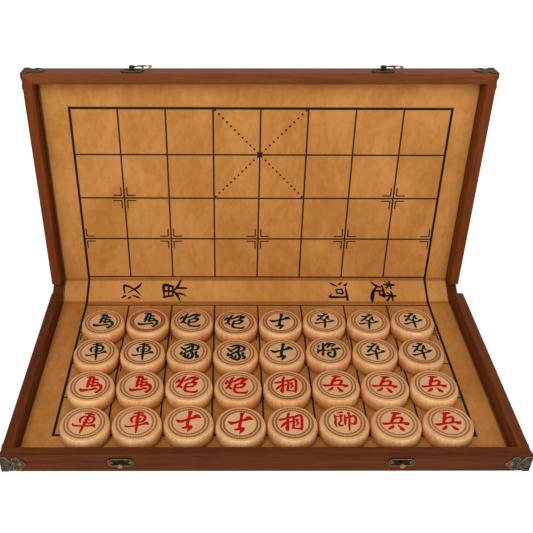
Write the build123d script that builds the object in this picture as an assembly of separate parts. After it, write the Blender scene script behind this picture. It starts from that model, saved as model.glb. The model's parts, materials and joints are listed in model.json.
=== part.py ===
from build123d import *
import os

# Folding xiangqi case: two railed trays joined by a narrow spine, with its thirty-two playing pieces.
#
# The case stands half open: the base tray lies flat, the spine and the lid tray rise behind it. Each board is
# modelled flat in its own frame, with x across, y measured from the crease, and z measured from the leather,
# and is then placed at its rest angle. The part's origin is the centre of the base tray's underside, +X is
# the case's right, -Y its front and +Z is up. Lengths are in millimetres and angles in degrees.

# ---- boards ----
inner_width = 483.0        # leather width between the side rails
tray_depth = 263.0         # crease to the outer face of the front rail
wall_height = 16.5         # rail top above the leather
rail_thickness = 11.5
panel_thickness = 4.3
leather_thickness = 1.2
rim_radius = 1.8           # rounding along the rail tops

# ---- folds ----
closing_gap = 0.4          # between the two rims when the case is shut
board_edge_gap = 0.3       # each board's edge to its crease line
rail_setback = 2.5         # rear end of a side rail to the crease line
strip_rise = 1.2           # spine end strips above the leather, less than rail_setback
spine_rest_angle = 25.0    # spine above the horizontal
lid_rest_angle = 86.0      # lid above the horizontal
upper_shift = -2.3         # spine and lid sit this far to the right of the base tray, or to its left below 0

# ---- playing pieces ----
piece_diameter = 50.0
piece_height = 18.3
piece_edge_inset = 1.4     # the drum narrows by this much in radius at its two faces
piece_edge_radius = 2.2
piece_gap_across = 1.5
piece_gap_along = 3.7
piece_front_clearance = 4.2
piece_seat_gap = 0.1
ring_outer_radius = 20.8   # shallow turned band around the top face
ring_inner_radius = 15.5
ring_depth = 0.25

# ---- corner guards ----
guard_thickness = 1.0
guard_rim_margin = 1.0     # guard's upper edge below the rail top
guard_root = 6.0           # plain part next to the corner, at the edges
guard_waist = 10.8         # plain part next to the corner, at the middle
guard_lobe_at = 15.0
guard_lobe_radius = 4.4
guard_lobe_edge = 0.6      # lobe to the guard's upper or lower edge
guard_eye_at = 18.6
guard_eye_radius = 5.0
guard_tip = 25.2
guard_tip_half_width = 3.9
guard_foot = 12.0          # flange on the panel side: its square part
guard_foot_lobe_radius = 4.5
guard_bend_radius = 0.8

# ---- latches ----
latch_spacing = 267.2
latch_shift = -4.5         # middle of the pair from the middle of the base tray
latch_inset = 8.3          # plate centre below the rail top
plate_length = 24.6
plate_width = 9.6
plate_thickness = 2.0
plate_edge_width = 1.0     # raised edge around the plate
plate_pocket_depth = 0.9
plate_hole_margin = 3.2    # nail centre to the plate's end
boss_foot_radius = 3.7
boss_top_radius = 3.0
catch_boss_height = 2.4    # boss around the stud, above the rail face
hook_standoff = 4.0        # hook's underside above the rail face
hook_thickness = 1.4
hook_eye_radius = 3.5
hook_arm_width = 2.6
hook_arm_bow = 3.4         # arm's middle beside the line from post to stud
hook_jaw_radius = 4.2
hook_nose = 1.2            # jaw's middle beyond the stud
hook_spur_width = 1.8
hook_spur_at = 8.2         # where the thumb spur leaves the arm, from the post
hook_spur_bend = 3.2       # where it turns down, further along
hook_spur_run = 4.2        # where it ends, further along
hook_rest_angles = (100.0, 94.0)   # left and right hook, turned back from latched
post_radius = 1.5
post_head_radius = 2.9
post_head_edge = 0.45      # straight part of the head's height
post_crown_radius = 1.6
post_head_height = 1.2
stud_radius = 2.5
stud_groove_radius = 1.7
stud_head_height = 0.9
stud_chamfer = 0.4
stud_dimple_radius = 1.0
stud_dimple_depth = 0.5
shank_depth = 6.0          # posts and studs inside the rail

# ---- nails ----
nail_radius = 0.7
nail_head_radius = 1.5
nail_head_edge = 0.2       # straight part of the head's height
nail_crown_radius = 0.9
nail_head_height = 0.6
nail_depth = 5.0

# ---- clearances ----
running_gap = 0.1          # hook eye around its post
lift_gap = 0.2             # hook above its boss and below the post's head
catch_gap = 0.4            # hook jaw around the stud's groove
bore_gap = 0.05            # shank in its hole

# ---- worked out ----
case_width = inner_width + 2 * rail_thickness
board_thickness = panel_thickness + leather_thickness
rail_height = wall_height + board_thickness
inner_depth = tray_depth - rail_thickness
spine_width = 2 * wall_height + closing_gap
latch_reach = 2 * latch_inset + closing_gap
nail_across = plate_length / 2 - plate_hole_margin
latch_places = [latch_shift - latch_spacing / 2, latch_shift + latch_spacing / 2]
hook_top = hook_standoff + hook_thickness
guard_height = rail_height - guard_rim_margin
overrun = 1.0              # how far a cutting tool passes the surface it cuts

# ---- where the boards lie in the row frame ----
base_place = Location((0, tray_depth / 2, board_thickness), (0, 0, 180))
spine_place = Location((upper_shift, tray_depth / 2, board_thickness), (spine_rest_angle, 0, 0))
lid_fold_point = spine_place * Pos(0, spine_width, 0)
lid_place = Location(lid_fold_point.position, (lid_rest_angle, 0, 0))

low_centre = (Align.CENTER, Align.MIN, Align.MIN)
low_corner = (Align.MIN, Align.MIN, Align.MIN)


def block(width, depth, height, x, y, z):
    """A box centred on x that starts at y and z."""
    return Pos(x, y, z) * Box(width, depth, height, align=low_centre)


def prism(points, low, high):
    """An upright prism over a plan polygon."""
    return Pos(0, 0, low) * extrude(make_face(Polyline(*points, close=True)), high - low)


def turned(points):
    """A solid turned about +Z from an (r, z) outline that starts and ends on the axis."""
    outline = make_face(Polyline(*[(r, 0, z) for r, z in points], close=True))
    return revolve(outline, Axis.Z)


def front_face_at(x):
    """A latch's place on the front rail's outer face: +X leads up the rail and +Z outwards."""
    return Plane(origin=(x, tray_depth, wall_height - latch_inset), x_dir=(0, 0, 1), z_dir=(0, 1, 0)).location


# ---- boards ----
def rail_bar(length):
    """A rail along +Y from the origin, with its two upper edges rounded."""
    bar = Box(rail_thickness, length, rail_height, align=low_corner)
    upper_edges = bar.edges().filter_by(Axis.Y).group_by(Axis.Z)[-1]
    return fillet(upper_edges, rim_radius)


def side_rail():
    """The rail on the +X side, mitred where it meets the front rail."""
    bar = Pos(inner_width / 2, rail_setback, -board_thickness) * rail_bar(tray_depth - rail_setback)
    inside, outside = inner_width / 2 - overrun, case_width / 2 + overrun
    mitre = prism([(inside, inner_depth - overrun), (outside, tray_depth + overrun),
                   (inside, tray_depth + overrun)], -board_thickness - overrun, wall_height + overrun)
    return bar - mitre


def front_rail():
    """The rail across the front, mitred at both ends."""
    bar = Location((case_width / 2, inner_depth, -board_thickness), (0, 0, 90)) * rail_bar(case_width)
    inside, outside = inner_width / 2 - overrun, case_width / 2 + overrun
    mitre = prism([(inside, inner_depth - overrun), (outside, tray_depth + overrun),
                   (outside, inner_depth - overrun)], -board_thickness - overrun, wall_height + overrun)
    return bar - mitre - mitre.mirror(Plane.YZ)


def guard_rebate():
    """What is cut from the outer side at the +X front corner to take the guard's flange flush."""
    reach = guard_foot + guard_foot_lobe_radius
    return Pos(case_width / 2 - reach, tray_depth - reach, -board_thickness) * Box(
        reach, reach, guard_thickness, align=low_corner)


# ---- corner guards ----
def guard_outline():
    """One flange: x leads away from the corner, y across the rail. A plain root, two lobes, an eye, a tip."""
    middle = guard_height / 2
    waist_low, waist_high = middle - guard_lobe_radius, middle + guard_lobe_radius
    root = make_face(Polyline((-guard_thickness, 0), (guard_root, 0), (guard_waist, waist_low),
                              (guard_waist, waist_high), (guard_root, guard_height),
                              (-guard_thickness, guard_height), close=True))
    lobe_rise = middle - guard_lobe_edge - guard_lobe_radius
    lobes = [Pos(guard_lobe_at, middle + side * lobe_rise) * Circle(guard_lobe_radius) for side in (-1, 1)]
    eye = Pos(guard_eye_at, middle) * Circle(guard_eye_radius)
    tip_foot = guard_eye_at + guard_eye_radius / 2
    tip = make_face(Polyline((tip_foot, middle - guard_tip_half_width), (guard_tip, middle),
                             (tip_foot, middle + guard_tip_half_width), close=True))
    bridge = Pos(guard_waist, middle) * Rectangle(
        2 * (guard_eye_at - guard_waist), guard_lobe_radius, align=(Align.CENTER, Align.CENTER))
    hole = Pos(guard_eye_at, middle) * Circle(nail_radius + bore_gap)
    return root + lobes[0] + lobes[1] + eye + tip + bridge - hole


def corner_guard():
    """The guard on the +X front corner: flanges on the front, side and panel faces."""
    front = Plane(origin=(case_width / 2, tray_depth, -board_thickness), x_dir=(-1, 0, 0), z_dir=(0, 1, 0))
    side = Plane(origin=(case_width / 2, tray_depth, guard_height - board_thickness),
                 x_dir=(0, -1, 0), z_dir=(1, 0, 0))
    flange = guard_outline()
    guard = extrude(front * flange, guard_thickness) + extrude(side * flange, guard_thickness)
    bend = guard.edges().filter_by(Axis.Z).sort_by(lambda edge: edge.center().X + edge.center().Y)[-1]
    guard = fillet(bend, guard_bend_radius)
    half = guard_foot / 2
    foot = Pos(-half, -half) * Rectangle(guard_foot, guard_foot)
    for lobe_x, lobe_y in ((guard_foot, guard_foot), (guard_foot, half), (half, guard_foot)):
        foot += Pos(-lobe_x, -lobe_y) * Circle(guard_foot_lobe_radius)
    return guard + Pos(case_width / 2, tray_depth, -board_thickness) * extrude(foot, guard_thickness)


def guard_nail_places():
    """Where a nail holds each upright flange of the +X guard, +Z outwards."""
    height = guard_height / 2 - board_thickness
    return [Plane(origin=(case_width / 2 - guard_eye_at, tray_depth, height), z_dir=(0, 1, 0)).location,
            Plane(origin=(case_width / 2, tray_depth - guard_eye_at, height), z_dir=(1, 0, 0)).location]


# ---- nails ----
def nail(seat):
    """A round-headed nail that stands on a surface `seat` above the rail face."""
    top = seat + nail_head_height
    return turned([(0, -nail_depth), (nail_radius, -nail_depth + nail_radius), (nail_radius, seat),
                   (nail_head_radius, seat), (nail_head_radius, seat + nail_head_edge),
                   (nail_crown_radius, top), (0, top)])


def bore(radius, depth):
    """What a pin takes out of the rail behind the plane it stands on."""
    return Pos(0, 0, -depth) * Cylinder(radius + bore_gap, depth + overrun, align=(
        Align.CENTER, Align.CENTER, Align.MIN))


# ---- latches ----
def latch_plate(boss_height):
    """An obround plate with a raised edge, two nail holes and a tapered boss around its middle hole."""
    plate = extrude(Rot(0, 0, 90) * SlotOverall(plate_length, plate_width), plate_thickness)
    pocket = extrude(Rot(0, 0, 90) * SlotOverall(plate_length - 2 * plate_edge_width,
                                                plate_width - 2 * plate_edge_width), plate_pocket_depth)
    floor = plate_thickness - plate_pocket_depth
    plate -= Pos(0, 0, floor) * pocket
    boss = turned([(0, floor), (boss_foot_radius, floor), (boss_top_radius, boss_height), (0, boss_height)])
    through = 2 * (boss_height + overrun)
    plate = plate + boss - Cylinder(post_radius + bore_gap, through)
    for side in (-1, 1):
        plate -= Pos(0, side * nail_across, 0) * Cylinder(nail_radius + bore_gap, through)
    return plate


def latch_nail_places(x):
    """Where the two nails of the latch plate at x stand, +Z outwards."""
    return [front_face_at(x) * Pos(0, side * nail_across, 0) for side in (-1, 1)]


def latch_post():
    """The riveted post that the hook turns on."""
    head_foot = hook_top + lift_gap
    top = head_foot + post_head_height
    return turned([(0, -shank_depth), (post_radius, -shank_depth), (post_radius, head_foot),
                   (post_head_radius, head_foot), (post_head_radius, head_foot + post_head_edge),
                   (post_crown_radius, top), (0, top)])


def catch_stud():
    """The stud on the base that the hook's jaw closes around, grooved near its end and dimpled in it."""
    groove_low, groove_high = hook_standoff - catch_gap, hook_top + catch_gap
    top = groove_high + stud_head_height
    return turned([(0, -shank_depth), (post_radius, -shank_depth), (post_radius, catch_boss_height),
                   (stud_radius, catch_boss_height), (stud_radius, groove_low), (stud_groove_radius, groove_low),
                   (stud_groove_radius, groove_high), (stud_radius, groove_high),
                   (stud_radius, top - stud_chamfer), (stud_radius - stud_chamfer, top),
                   (stud_dimple_radius, top), (0, top - stud_dimple_depth)])


def latch_hook():
    """The hook flat on z = 0, latched: its post at the origin and the stud at latch_reach along +X."""
    arm = ThreePointArc((0, hook_eye_radius - hook_arm_width / 2), (latch_reach / 2, hook_arm_bow),
                        (latch_reach + hook_nose, hook_jaw_radius - hook_arm_width / 2))
    spur = ThreePointArc((hook_spur_at, hook_arm_bow), (hook_spur_at + hook_spur_bend, hook_arm_bow / 2),
                         (hook_spur_at + hook_spur_run, -hook_jaw_radius / 2))
    jaw = Pos(latch_reach + hook_nose, 0) * Circle(hook_jaw_radius)
    body = Circle(hook_eye_radius) + jaw + trace(arm, hook_arm_width) + trace(spur, hook_spur_width)
    jaw_room = stud_groove_radius + catch_gap
    swept = Circle(latch_reach + jaw_room) - Circle(latch_reach - jaw_room)
    jaw_side = 4 * hook_jaw_radius
    mouth = swept & (Pos(latch_reach, 0) * Rectangle(jaw_side, jaw_side, align=(Align.CENTER, Align.MAX)))
    body = body - mouth - Pos(latch_reach, 0) * Circle(jaw_room) - Circle(post_radius + running_gap)
    return extrude(body, hook_thickness)


# ---- playing pieces ----
def playing_piece():
    """A drum with bulged sides, rounded edges and a shallow band around its top face."""
    face_radius = piece_diameter / 2 - piece_edge_inset
    side = ThreePointArc((face_radius, 0, 0), (piece_diameter / 2, 0, piece_height / 2),
                         (face_radius, 0, piece_height))
    outline = make_face([side, Polyline((face_radius, 0, piece_height), (0, 0, piece_height), (0, 0, 0),
                                        (face_radius, 0, 0))])
    drum = revolve(outline, Axis.Z)
    rims = [edge for edge in drum.edges().filter_by(GeomType.CIRCLE) if abs(edge.radius - face_radius) < 0.01]
    drum = fillet(rims, piece_edge_radius)
    band = Cylinder(ring_outer_radius, 2 * ring_depth) - Cylinder(ring_inner_radius, 4 * ring_depth)
    return drum - Pos(0, 0, piece_height) * band


rank_rows = [   # from the row nearest the spine to the one nearest the front rail, left to right
    ("green", "horse_1 horse_2 cannon_1 cannon_2 advisor_1 soldier_1 soldier_2 soldier_3"),
    ("green", "chariot_1 chariot_2 elephant_1 elephant_2 advisor_2 general soldier_4 soldier_5"),
    ("red", "horse_1 horse_2 cannon_1 cannon_2 elephant_1 soldier_1 soldier_2 soldier_3"),
    ("red", "chariot_1 chariot_2 advisor_1 advisor_2 elephant_2 general soldier_4 soldier_5"),
]
row_shifts = [-1.0, -2.0, 0.2, 2.2]   # each row's middle from the middle of the case
set_back = [   # how far behind its row's line each piece was put down by hand
    [-0.2, 2.1, 2.3, -0.8, -0.1, 2.3, 0.8, 2.2],
    [0.5, 0.2, 0.8, -1.4, -0.6, 2.3, 0.5, 1.0],
    [-0.1, 0.2, 1.0, -0.5, -0.5, 1.2, 0.1, 0.2],
    [0.1, 0.7, 1.6, -1.0, 0.2, 1.6, 0.4, 0.5],
]


def piece_places():
    """Each playing piece's name and its foot's centre in the row frame."""
    pitch_across = piece_diameter + piece_gap_across
    pitch_along = piece_diameter + piece_gap_along
    front_row = rail_thickness + piece_front_clearance + piece_diameter / 2 - tray_depth / 2
    for row, (colour, ranks) in enumerate(rank_rows):
        names = ranks.split()
        for column, rank in enumerate(names):
            x = row_shifts[row] + (column - (len(names) - 1) / 2) * pitch_across
            y = front_row + (len(rank_rows) - 1 - row) * pitch_along + set_back[row][column]
            yield f"{colour}_{rank}", (x, y, board_thickness + piece_seat_gap)


# ---- assembly ----
def tray_nodes(name, place, flip, latches):
    """A tray's boards, rails, guards and their nails. `flip` is -1 where the tray is turned end for end."""
    sides = {"left": -flip, "right": flip}
    depth = inner_depth - board_edge_gap
    panel = block(inner_width, depth, panel_thickness, 0, board_edge_gap, -board_thickness)
    leather = block(inner_width, depth, leather_thickness, 0, board_edge_gap, -leather_thickness)
    rail, front, guard = side_rail(), front_rail(), corner_guard()
    rebate = guard_rebate()
    nails = []
    for nail_place in guard_nail_places():
        hole = nail_place * bore(nail_radius, nail_depth)
        rail, front = rail - hole, front - hole - hole.mirror(Plane.YZ)
        pin = nail_place * nail(guard_thickness)
        nails += [pin, pin.mirror(Plane.YZ)]
    front = front - rebate - rebate.mirror(Plane.YZ)
    panel = panel - rebate - rebate.mirror(Plane.YZ)
    rail = rail - rebate
    for x in latches:
        front -= front_face_at(flip * x) * bore(post_radius, shank_depth)
        for nail_place in latch_nail_places(flip * x):
            front -= nail_place * bore(nail_radius, nail_depth)
            nails.append(nail_place * nail(plate_thickness - plate_pocket_depth))
    nodes = {f"{name}_panel": panel, f"{name}_leather": leather, f"{name}_front_rail": front,
             f"{name}_nails": Compound(children=nails)}
    for side, sign in sides.items():
        nodes[f"{name}_{side}_rail"] = rail if sign > 0 else rail.mirror(Plane.YZ)
        nodes[f"{name}_{side}_corner_guard"] = guard if sign > 0 else guard.mirror(Plane.YZ)
    return {node: shape.moved(place) for node, shape in nodes.items()}


def spine_nodes():
    """The narrow board between the two creases, with a strip of rail wood at each end."""
    depth = spine_width - 2 * board_edge_gap
    panel = block(inner_width, depth, panel_thickness, 0, board_edge_gap, -board_thickness)
    leather = block(inner_width, depth, leather_thickness, 0, board_edge_gap, -leather_thickness)
    strip = block(rail_thickness, depth, board_thickness + strip_rise,
                  (inner_width + rail_thickness) / 2, board_edge_gap, -board_thickness)
    nodes = {"spine_panel": panel, "spine_leather": leather,
             "spine_right_strip": strip, "spine_left_strip": strip.mirror(Plane.YZ)}
    return {node: shape.moved(spine_place) for node, shape in nodes.items()}


def latch_nodes():
    """Catch plates and studs on the base, and plates, posts and hooks on the lid."""
    nodes, studs, posts = {}, [], []
    for side, x, rest_angle in zip(("left", "right"), latch_places, hook_rest_angles):
        catch_at = base_place * front_face_at(-x)
        latch_at = lid_place * front_face_at(x - upper_shift)
        nodes[f"{side}_catch_plate"] = latch_plate(catch_boss_height).moved(catch_at)
        nodes[f"{side}_latch_plate"] = latch_plate(hook_standoff - lift_gap).moved(latch_at)
        nodes[f"{side}_latch_hook"] = latch_hook().moved(latch_at * Location((0, 0, hook_standoff),
                                                                           (0, 0, rest_angle)))
        studs.append(catch_stud().moved(catch_at))
        posts.append(latch_post().moved(latch_at))
    nodes["catch_studs"] = Compound(children=studs)
    nodes["latch_posts"] = Compound(children=posts)
    return nodes


def build():
    """Every node of the part by name."""
    nodes = tray_nodes("base", base_place, -1, latch_places)
    nodes.update(spine_nodes())
    nodes.update(tray_nodes("lid", lid_place, 1, [x - upper_shift for x in latch_places]))
    nodes.update(latch_nodes())
    drum = playing_piece()
    for name, foot in piece_places():
        nodes[name] = drum.moved(Location(foot))
    return nodes


os.makedirs("parts", exist_ok=True)
for node, shape in build().items():
    shape.label = node
    export_step(shape, f"parts/{node}.step")
print("spine fold at", base_place.position, "lid fold at", lid_fold_point.position)
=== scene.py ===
import json
import math

import bmesh
import bpy
import numpy as np
from mathutils import Matrix, Vector
from mathutils.geometry import delaunay_2d_cdt


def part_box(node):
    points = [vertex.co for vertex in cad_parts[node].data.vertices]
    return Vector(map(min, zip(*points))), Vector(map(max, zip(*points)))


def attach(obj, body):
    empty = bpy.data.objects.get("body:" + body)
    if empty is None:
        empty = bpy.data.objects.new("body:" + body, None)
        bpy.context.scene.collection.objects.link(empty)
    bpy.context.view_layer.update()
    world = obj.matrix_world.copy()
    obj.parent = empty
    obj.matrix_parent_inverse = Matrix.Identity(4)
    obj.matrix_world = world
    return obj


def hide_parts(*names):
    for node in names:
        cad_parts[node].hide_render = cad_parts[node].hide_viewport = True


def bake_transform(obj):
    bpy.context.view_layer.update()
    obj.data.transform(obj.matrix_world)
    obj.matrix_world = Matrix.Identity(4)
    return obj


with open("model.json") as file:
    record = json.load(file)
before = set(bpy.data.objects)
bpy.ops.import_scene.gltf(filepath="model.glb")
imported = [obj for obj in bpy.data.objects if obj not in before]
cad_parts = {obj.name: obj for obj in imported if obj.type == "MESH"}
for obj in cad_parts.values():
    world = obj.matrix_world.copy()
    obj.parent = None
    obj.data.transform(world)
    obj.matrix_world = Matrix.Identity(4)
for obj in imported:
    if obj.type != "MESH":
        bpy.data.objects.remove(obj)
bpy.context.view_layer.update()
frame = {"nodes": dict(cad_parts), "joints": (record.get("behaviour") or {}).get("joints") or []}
scene = bpy.context.scene
mm = 0.001
quarter, fullTurn = math.pi / 2, 2 * math.pi

# the three boards, each measured across (x), away from its crease (y) and up from its leather (z)
joints = {joint["name"]: joint for joint in frame["joints"]}
lowCrease = np.array(joints["spine_fold"]["pos_m"])
highCrease = np.array(joints["lid_fold"]["pos_m"])
upperShift = highCrease[0] - lowCrease[0]
spineStart = lowCrease + (upperShift, 0, 0)
spineWidth = float(np.linalg.norm(highCrease - spineStart))
spineOut = (highCrease - spineStart) / spineWidth
lidOut = np.array(joints["left_hook_swing"]["axis"])
acrossCase = np.array([1.0, 0.0, 0.0])
boards = {
    "base": (lowCrease, np.array([0.0, -1.0, 0.0]), np.array([0.0, 0.0, 1.0])),
    "spine": (spineStart, spineOut, np.cross(acrossCase, spineOut)),
    "lid": (highCrease, lidOut, np.cross(acrossCase, lidOut)),
}
spineTilt = math.atan2(spineOut[2], spineOut[1])
lidTilt = math.atan2(lidOut[2], lidOut[1])
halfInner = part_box("base_leather")[1].x
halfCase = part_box("base_front_rail")[1].x
innerDepth = lowCrease[1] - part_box("base_leather")[0].y
trayDepth = lowCrease[1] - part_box("base_front_rail")[0].y
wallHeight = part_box("base_front_rail")[1].z - lowCrease[2]
boardThickness = lowCrease[2]


def onBoard(board, x, y, z):
    # points of one board in the frame: its crease point plus x across, y outwards and z up
    start, out, up = boards[board]
    x, y, z = np.broadcast_arrays(x, y, z)
    return start + x[..., None] * acrossCase + y[..., None] * out + z[..., None] * up


def smoothStep(value):
    # 0 up to 0, 1 from 1 on, and an S-shaped rise between them
    value = np.clip(value, 0, 1)
    return value * value * (3 - 2 * value)


# meshes from arrays
def cleaned(mesh, dissolve=True):
    # doubles merged, slivers and points without a face dropped, and the faces turned outwards
    work = bmesh.new()
    work.from_mesh(mesh)
    bmesh.ops.remove_doubles(work, verts=work.verts, dist=1e-7)
    if dissolve:
        bmesh.ops.dissolve_degenerate(work, edges=work.edges, dist=1e-8)
    bmesh.ops.delete(work, geom=[v for v in work.verts if not v.link_faces], context="VERTS")
    bmesh.ops.recalc_face_normals(work, faces=work.faces)
    work.to_mesh(mesh)
    work.free()


def pointsOf(mesh):
    # the places of a mesh's points as rows of x, y, z
    places = np.empty(len(mesh.vertices) * 3)
    mesh.vertices.foreach_get("co", places)
    return places.reshape(-1, 3)


def setPointValues(mesh, label, values):
    # one number per point, for the attribute that a material reads by this name
    layer = mesh.attributes.new(label, "FLOAT", "POINT")
    layer.data.foreach_set("value", np.asarray(values, np.float32))


def newPiece(name, points, faces, material, body=None, replaces=(), slot=None, creaseAngle=35):
    # an object at the origin with its place in its mesh, smooth but for edges sharper than creaseAngle
    mesh = bpy.data.meshes.new(name)
    faces = [list(map(int, face)) for face in faces]
    mesh.from_pydata(np.asarray(points).reshape(-1, 3).tolist(), [], faces)
    cleaned(mesh)
    mesh.shade_smooth()
    mesh.set_sharp_from_angle(angle=math.radians(creaseAngle))
    piece = bpy.data.objects.new(name, mesh)
    scene.collection.objects.link(piece)
    mesh.materials.append(material)
    if body:
        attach(piece, body)
    if replaces:
        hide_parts(*replaces)
    return piece


def gridFaces(rows, columns, closeRows=False, closeColumns=False, first=0):
    # the quads of a grid of points, row after row
    row = np.arange(rows if closeRows else rows - 1)[:, None]
    column = np.arange(columns if closeColumns else columns - 1)[None, :]
    nextRow, nextColumn = (row + 1) % rows, (column + 1) % columns
    quads = [row * columns + column, row * columns + nextColumn,
             nextRow * columns + nextColumn, nextRow * columns + column]
    return (np.stack(quads, -1).reshape(-1, 4) + first).tolist()


def turnedShell(profile, divisions):
    # a profile of (radius, height) turned about the vertical axis; an end on the axis closes to a fan
    profile = np.array(profile, float)
    angle = np.linspace(0, 2 * np.pi, divisions, endpoint=False)
    points = np.stack([profile[:, None, 0] * np.cos(angle), profile[:, None, 0] * np.sin(angle),
                       np.repeat(profile[:, 1:], divisions, 1)], -1)
    return points.reshape(-1, 3), gridFaces(len(profile), divisions, closeColumns=True)


def smoothPath(points, steps):
    # a Catmull-Rom curve through the points, sampled steps times between each two
    points = np.array(points, float)
    padded = np.vstack([2 * points[0] - points[1], points, 2 * points[-1] - points[-2]])
    before, start, end, after = padded[:-3], padded[1:-2], padded[2:-1], padded[3:]
    t = np.linspace(0, 1, steps, endpoint=False)[None, :, None]
    before, start, end, after = (part[:, None, :] for part in (before, start, end, after))
    curve = 0.5 * (2 * start + (end - before) * t + (2 * before - 5 * start + 4 * end - after) * t ** 2
                   + (3 * start - before - 3 * end + after) * t ** 3)
    return np.vstack([curve.reshape(-1, points.shape[1]), points[-1:]])


barSides = 16


def sweptBar(path, width, height):
    # an elliptic section carried along a path in the plane z = 0, drawn in to a point at both ends
    path = np.array(path, float)
    along = np.gradient(path, axis=0)
    along /= np.linalg.norm(along, axis=1)[:, None]
    side = np.stack([-along[:, 1], along[:, 0]], 1)
    reach = np.linspace(0, 1, len(path))
    toEnd = np.clip(1 - np.minimum(reach, 1 - reach) * len(path) / 3, 0, 1)
    endRound = np.sqrt(np.clip(1 - toEnd ** 2, 0, 1))
    angle = np.linspace(0, 2 * np.pi, barSides, endpoint=False)
    halfWidth = np.broadcast_to(width, len(path)) / 2 * endRound
    halfHeight = np.broadcast_to(height, len(path)) / 2 * endRound
    flat = path[:, None, :] + side[:, None, :] * (halfWidth[:, None] * np.cos(angle))[..., None]
    points = np.concatenate([flat, (halfHeight[:, None] * np.sin(angle))[..., None]], -1)
    return points.reshape(-1, 3), gridFaces(len(path), barSides, closeColumns=True)


def ringBar(centre, radius, width, height, start=0.0, sweep=2 * np.pi, steps=40):
    # a swept bar that follows an arc about a centre, and closes on itself where it goes all the way round
    angle = start + np.linspace(0, sweep, steps)
    path = np.array(centre) + radius * np.stack([np.cos(angle), np.sin(angle)], 1)
    if sweep < 2 * np.pi:
        return sweptBar(path, width, height)
    section = np.linspace(0, 2 * np.pi, barSides, endpoint=False)
    angle = angle[:-1]
    reach = radius + width / 2 * np.cos(section)
    rise = np.broadcast_to(height / 2 * np.sin(section), (steps - 1, barSides))
    points = np.stack([centre[0] + np.cos(angle)[:, None] * reach,
                       centre[1] + np.sin(angle)[:, None] * reach, rise], -1)
    return points.reshape(-1, 3), gridFaces(steps - 1, barSides, closeRows=True, closeColumns=True)


def joined(shells):
    # one list of points and faces from several shells, each (points, faces)
    points, faces, count = [], [], 0
    for shellPoints, shellFaces in shells:
        points.append(np.asarray(shellPoints).reshape(-1, 3))
        faces += [[count + index for index in face] for face in shellFaces]
        count += len(points[-1])
    return np.vstack(points), faces


# flat shapes cut from a plan
def circle(x, y, radius, divisions=28):
    # points on a circle about (x, y), anticlockwise
    angle = np.linspace(0, 2 * np.pi, divisions, endpoint=False)
    return np.stack([x + radius * np.cos(angle), y + radius * np.sin(angle)], 1)


def cutPlan(shapes, holes=(), inner=None):
    # triangles of the union of the shapes less the holes, each with the numbers of the shapes it lies in
    points, faces = [], []
    for shape in [*shapes, *holes]:
        faces.append(list(range(len(points), len(points) + len(shape))))
        points += [Vector(point) for point in np.asarray(shape, float).tolist()]
    if inner is not None:
        points += [Vector(point) for point in inner.tolist()]
    found, _, triangles, _, _, origin = delaunay_2d_cdt(points, [], faces, 1, 1e-6)
    kept = [i for i, owners in enumerate(origin) if owners and max(owners) < len(shapes)]
    plan = np.array([tuple(point) for point in found])
    return plan, np.array([triangles[i] for i in kept]), [origin[i] for i in kept]


def borderEdges(triangles):
    # the edges that belong to one triangle only, each in the direction in which it runs there
    edges = np.concatenate([triangles[:, [0, 1]], triangles[:, [1, 2]], triangles[:, [2, 0]]])
    key = np.sort(edges, 1)
    _, first, count = np.unique(key, axis=0, return_index=True, return_counts=True)
    return edges[first[count == 1]]


def slabFaces(triangles, count):
    # a plan's triangles above, turned over below with numbers from count on, and the walls between them
    border = borderEdges(triangles)
    walls = np.stack([border[:, 1], border[:, 0], border[:, 0] + count, border[:, 1] + count], 1)
    return triangles.tolist() + (triangles[:, ::-1] + count).tolist() + walls.tolist()


def distanceTo(points, starts, ends):
    # the distance from each point to the nearest of the segments
    line = ends - starts
    share = ((points[:, None] - starts) * line).sum(-1) / np.maximum((line ** 2).sum(-1), 1e-18)
    nearest = starts + np.clip(share, 0, 1)[..., None] * line
    return np.linalg.norm(points[:, None] - nearest, axis=-1).min(1)


plateFoot = 0.02


def reliefPlate(shapes, holes, spacing, heightOf):
    # a plate whose upper face stands heightOf(x, y, distance to the edge) above its flat foot
    low = np.min([np.min(shape, 0) for shape in shapes], 0)
    high = np.max([np.max(shape, 0) for shape in shapes], 0)
    acrossPlate = np.arange(low[0], high[0], spacing)
    columns, rows = np.meshgrid(acrossPlate, np.arange(low[1], high[1], spacing * 0.87))
    columns = columns + spacing / 2 * (np.arange(len(rows)) % 2)[:, None]
    plan, triangles, _ = cutPlan(shapes, holes, np.stack([columns.ravel(), rows.ravel()], 1))
    used = np.unique(triangles)
    plan, triangles = plan[used], np.searchsorted(used, triangles)
    border = borderEdges(triangles)
    height = heightOf(plan[:, 0], plan[:, 1], distanceTo(plan, plan[border[:, 0]], plan[border[:, 1]]))
    foot = np.full(len(plan), plateFoot)
    points = np.vstack([np.column_stack([plan, height]), np.column_stack([plan, foot])])
    return points, slabFaces(triangles, len(plan)), height


# node helpers: a Field is a value that varies over a surface
def linear(colour):
    # a colour written as it looks, such as "#a0652c", in the numbers that a shader takes
    parts = np.array([int(colour[i:i + 2], 16) / 255 for i in (1, 3, 5)])
    parts = np.where(parts <= 0.04045, parts / 12.92, ((parts + 0.055) / 1.055) ** 2.4)
    return (*parts.tolist(), 1.0)


def feed(tree, socket, value):
    # a Field is linked to the socket, and a colour or a number is written into it
    if isinstance(value, Field):
        tree.links.new(value.socket, socket)
    elif isinstance(value, str):
        socket.default_value = linear(value)
    else:
        socket.default_value = value


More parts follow.
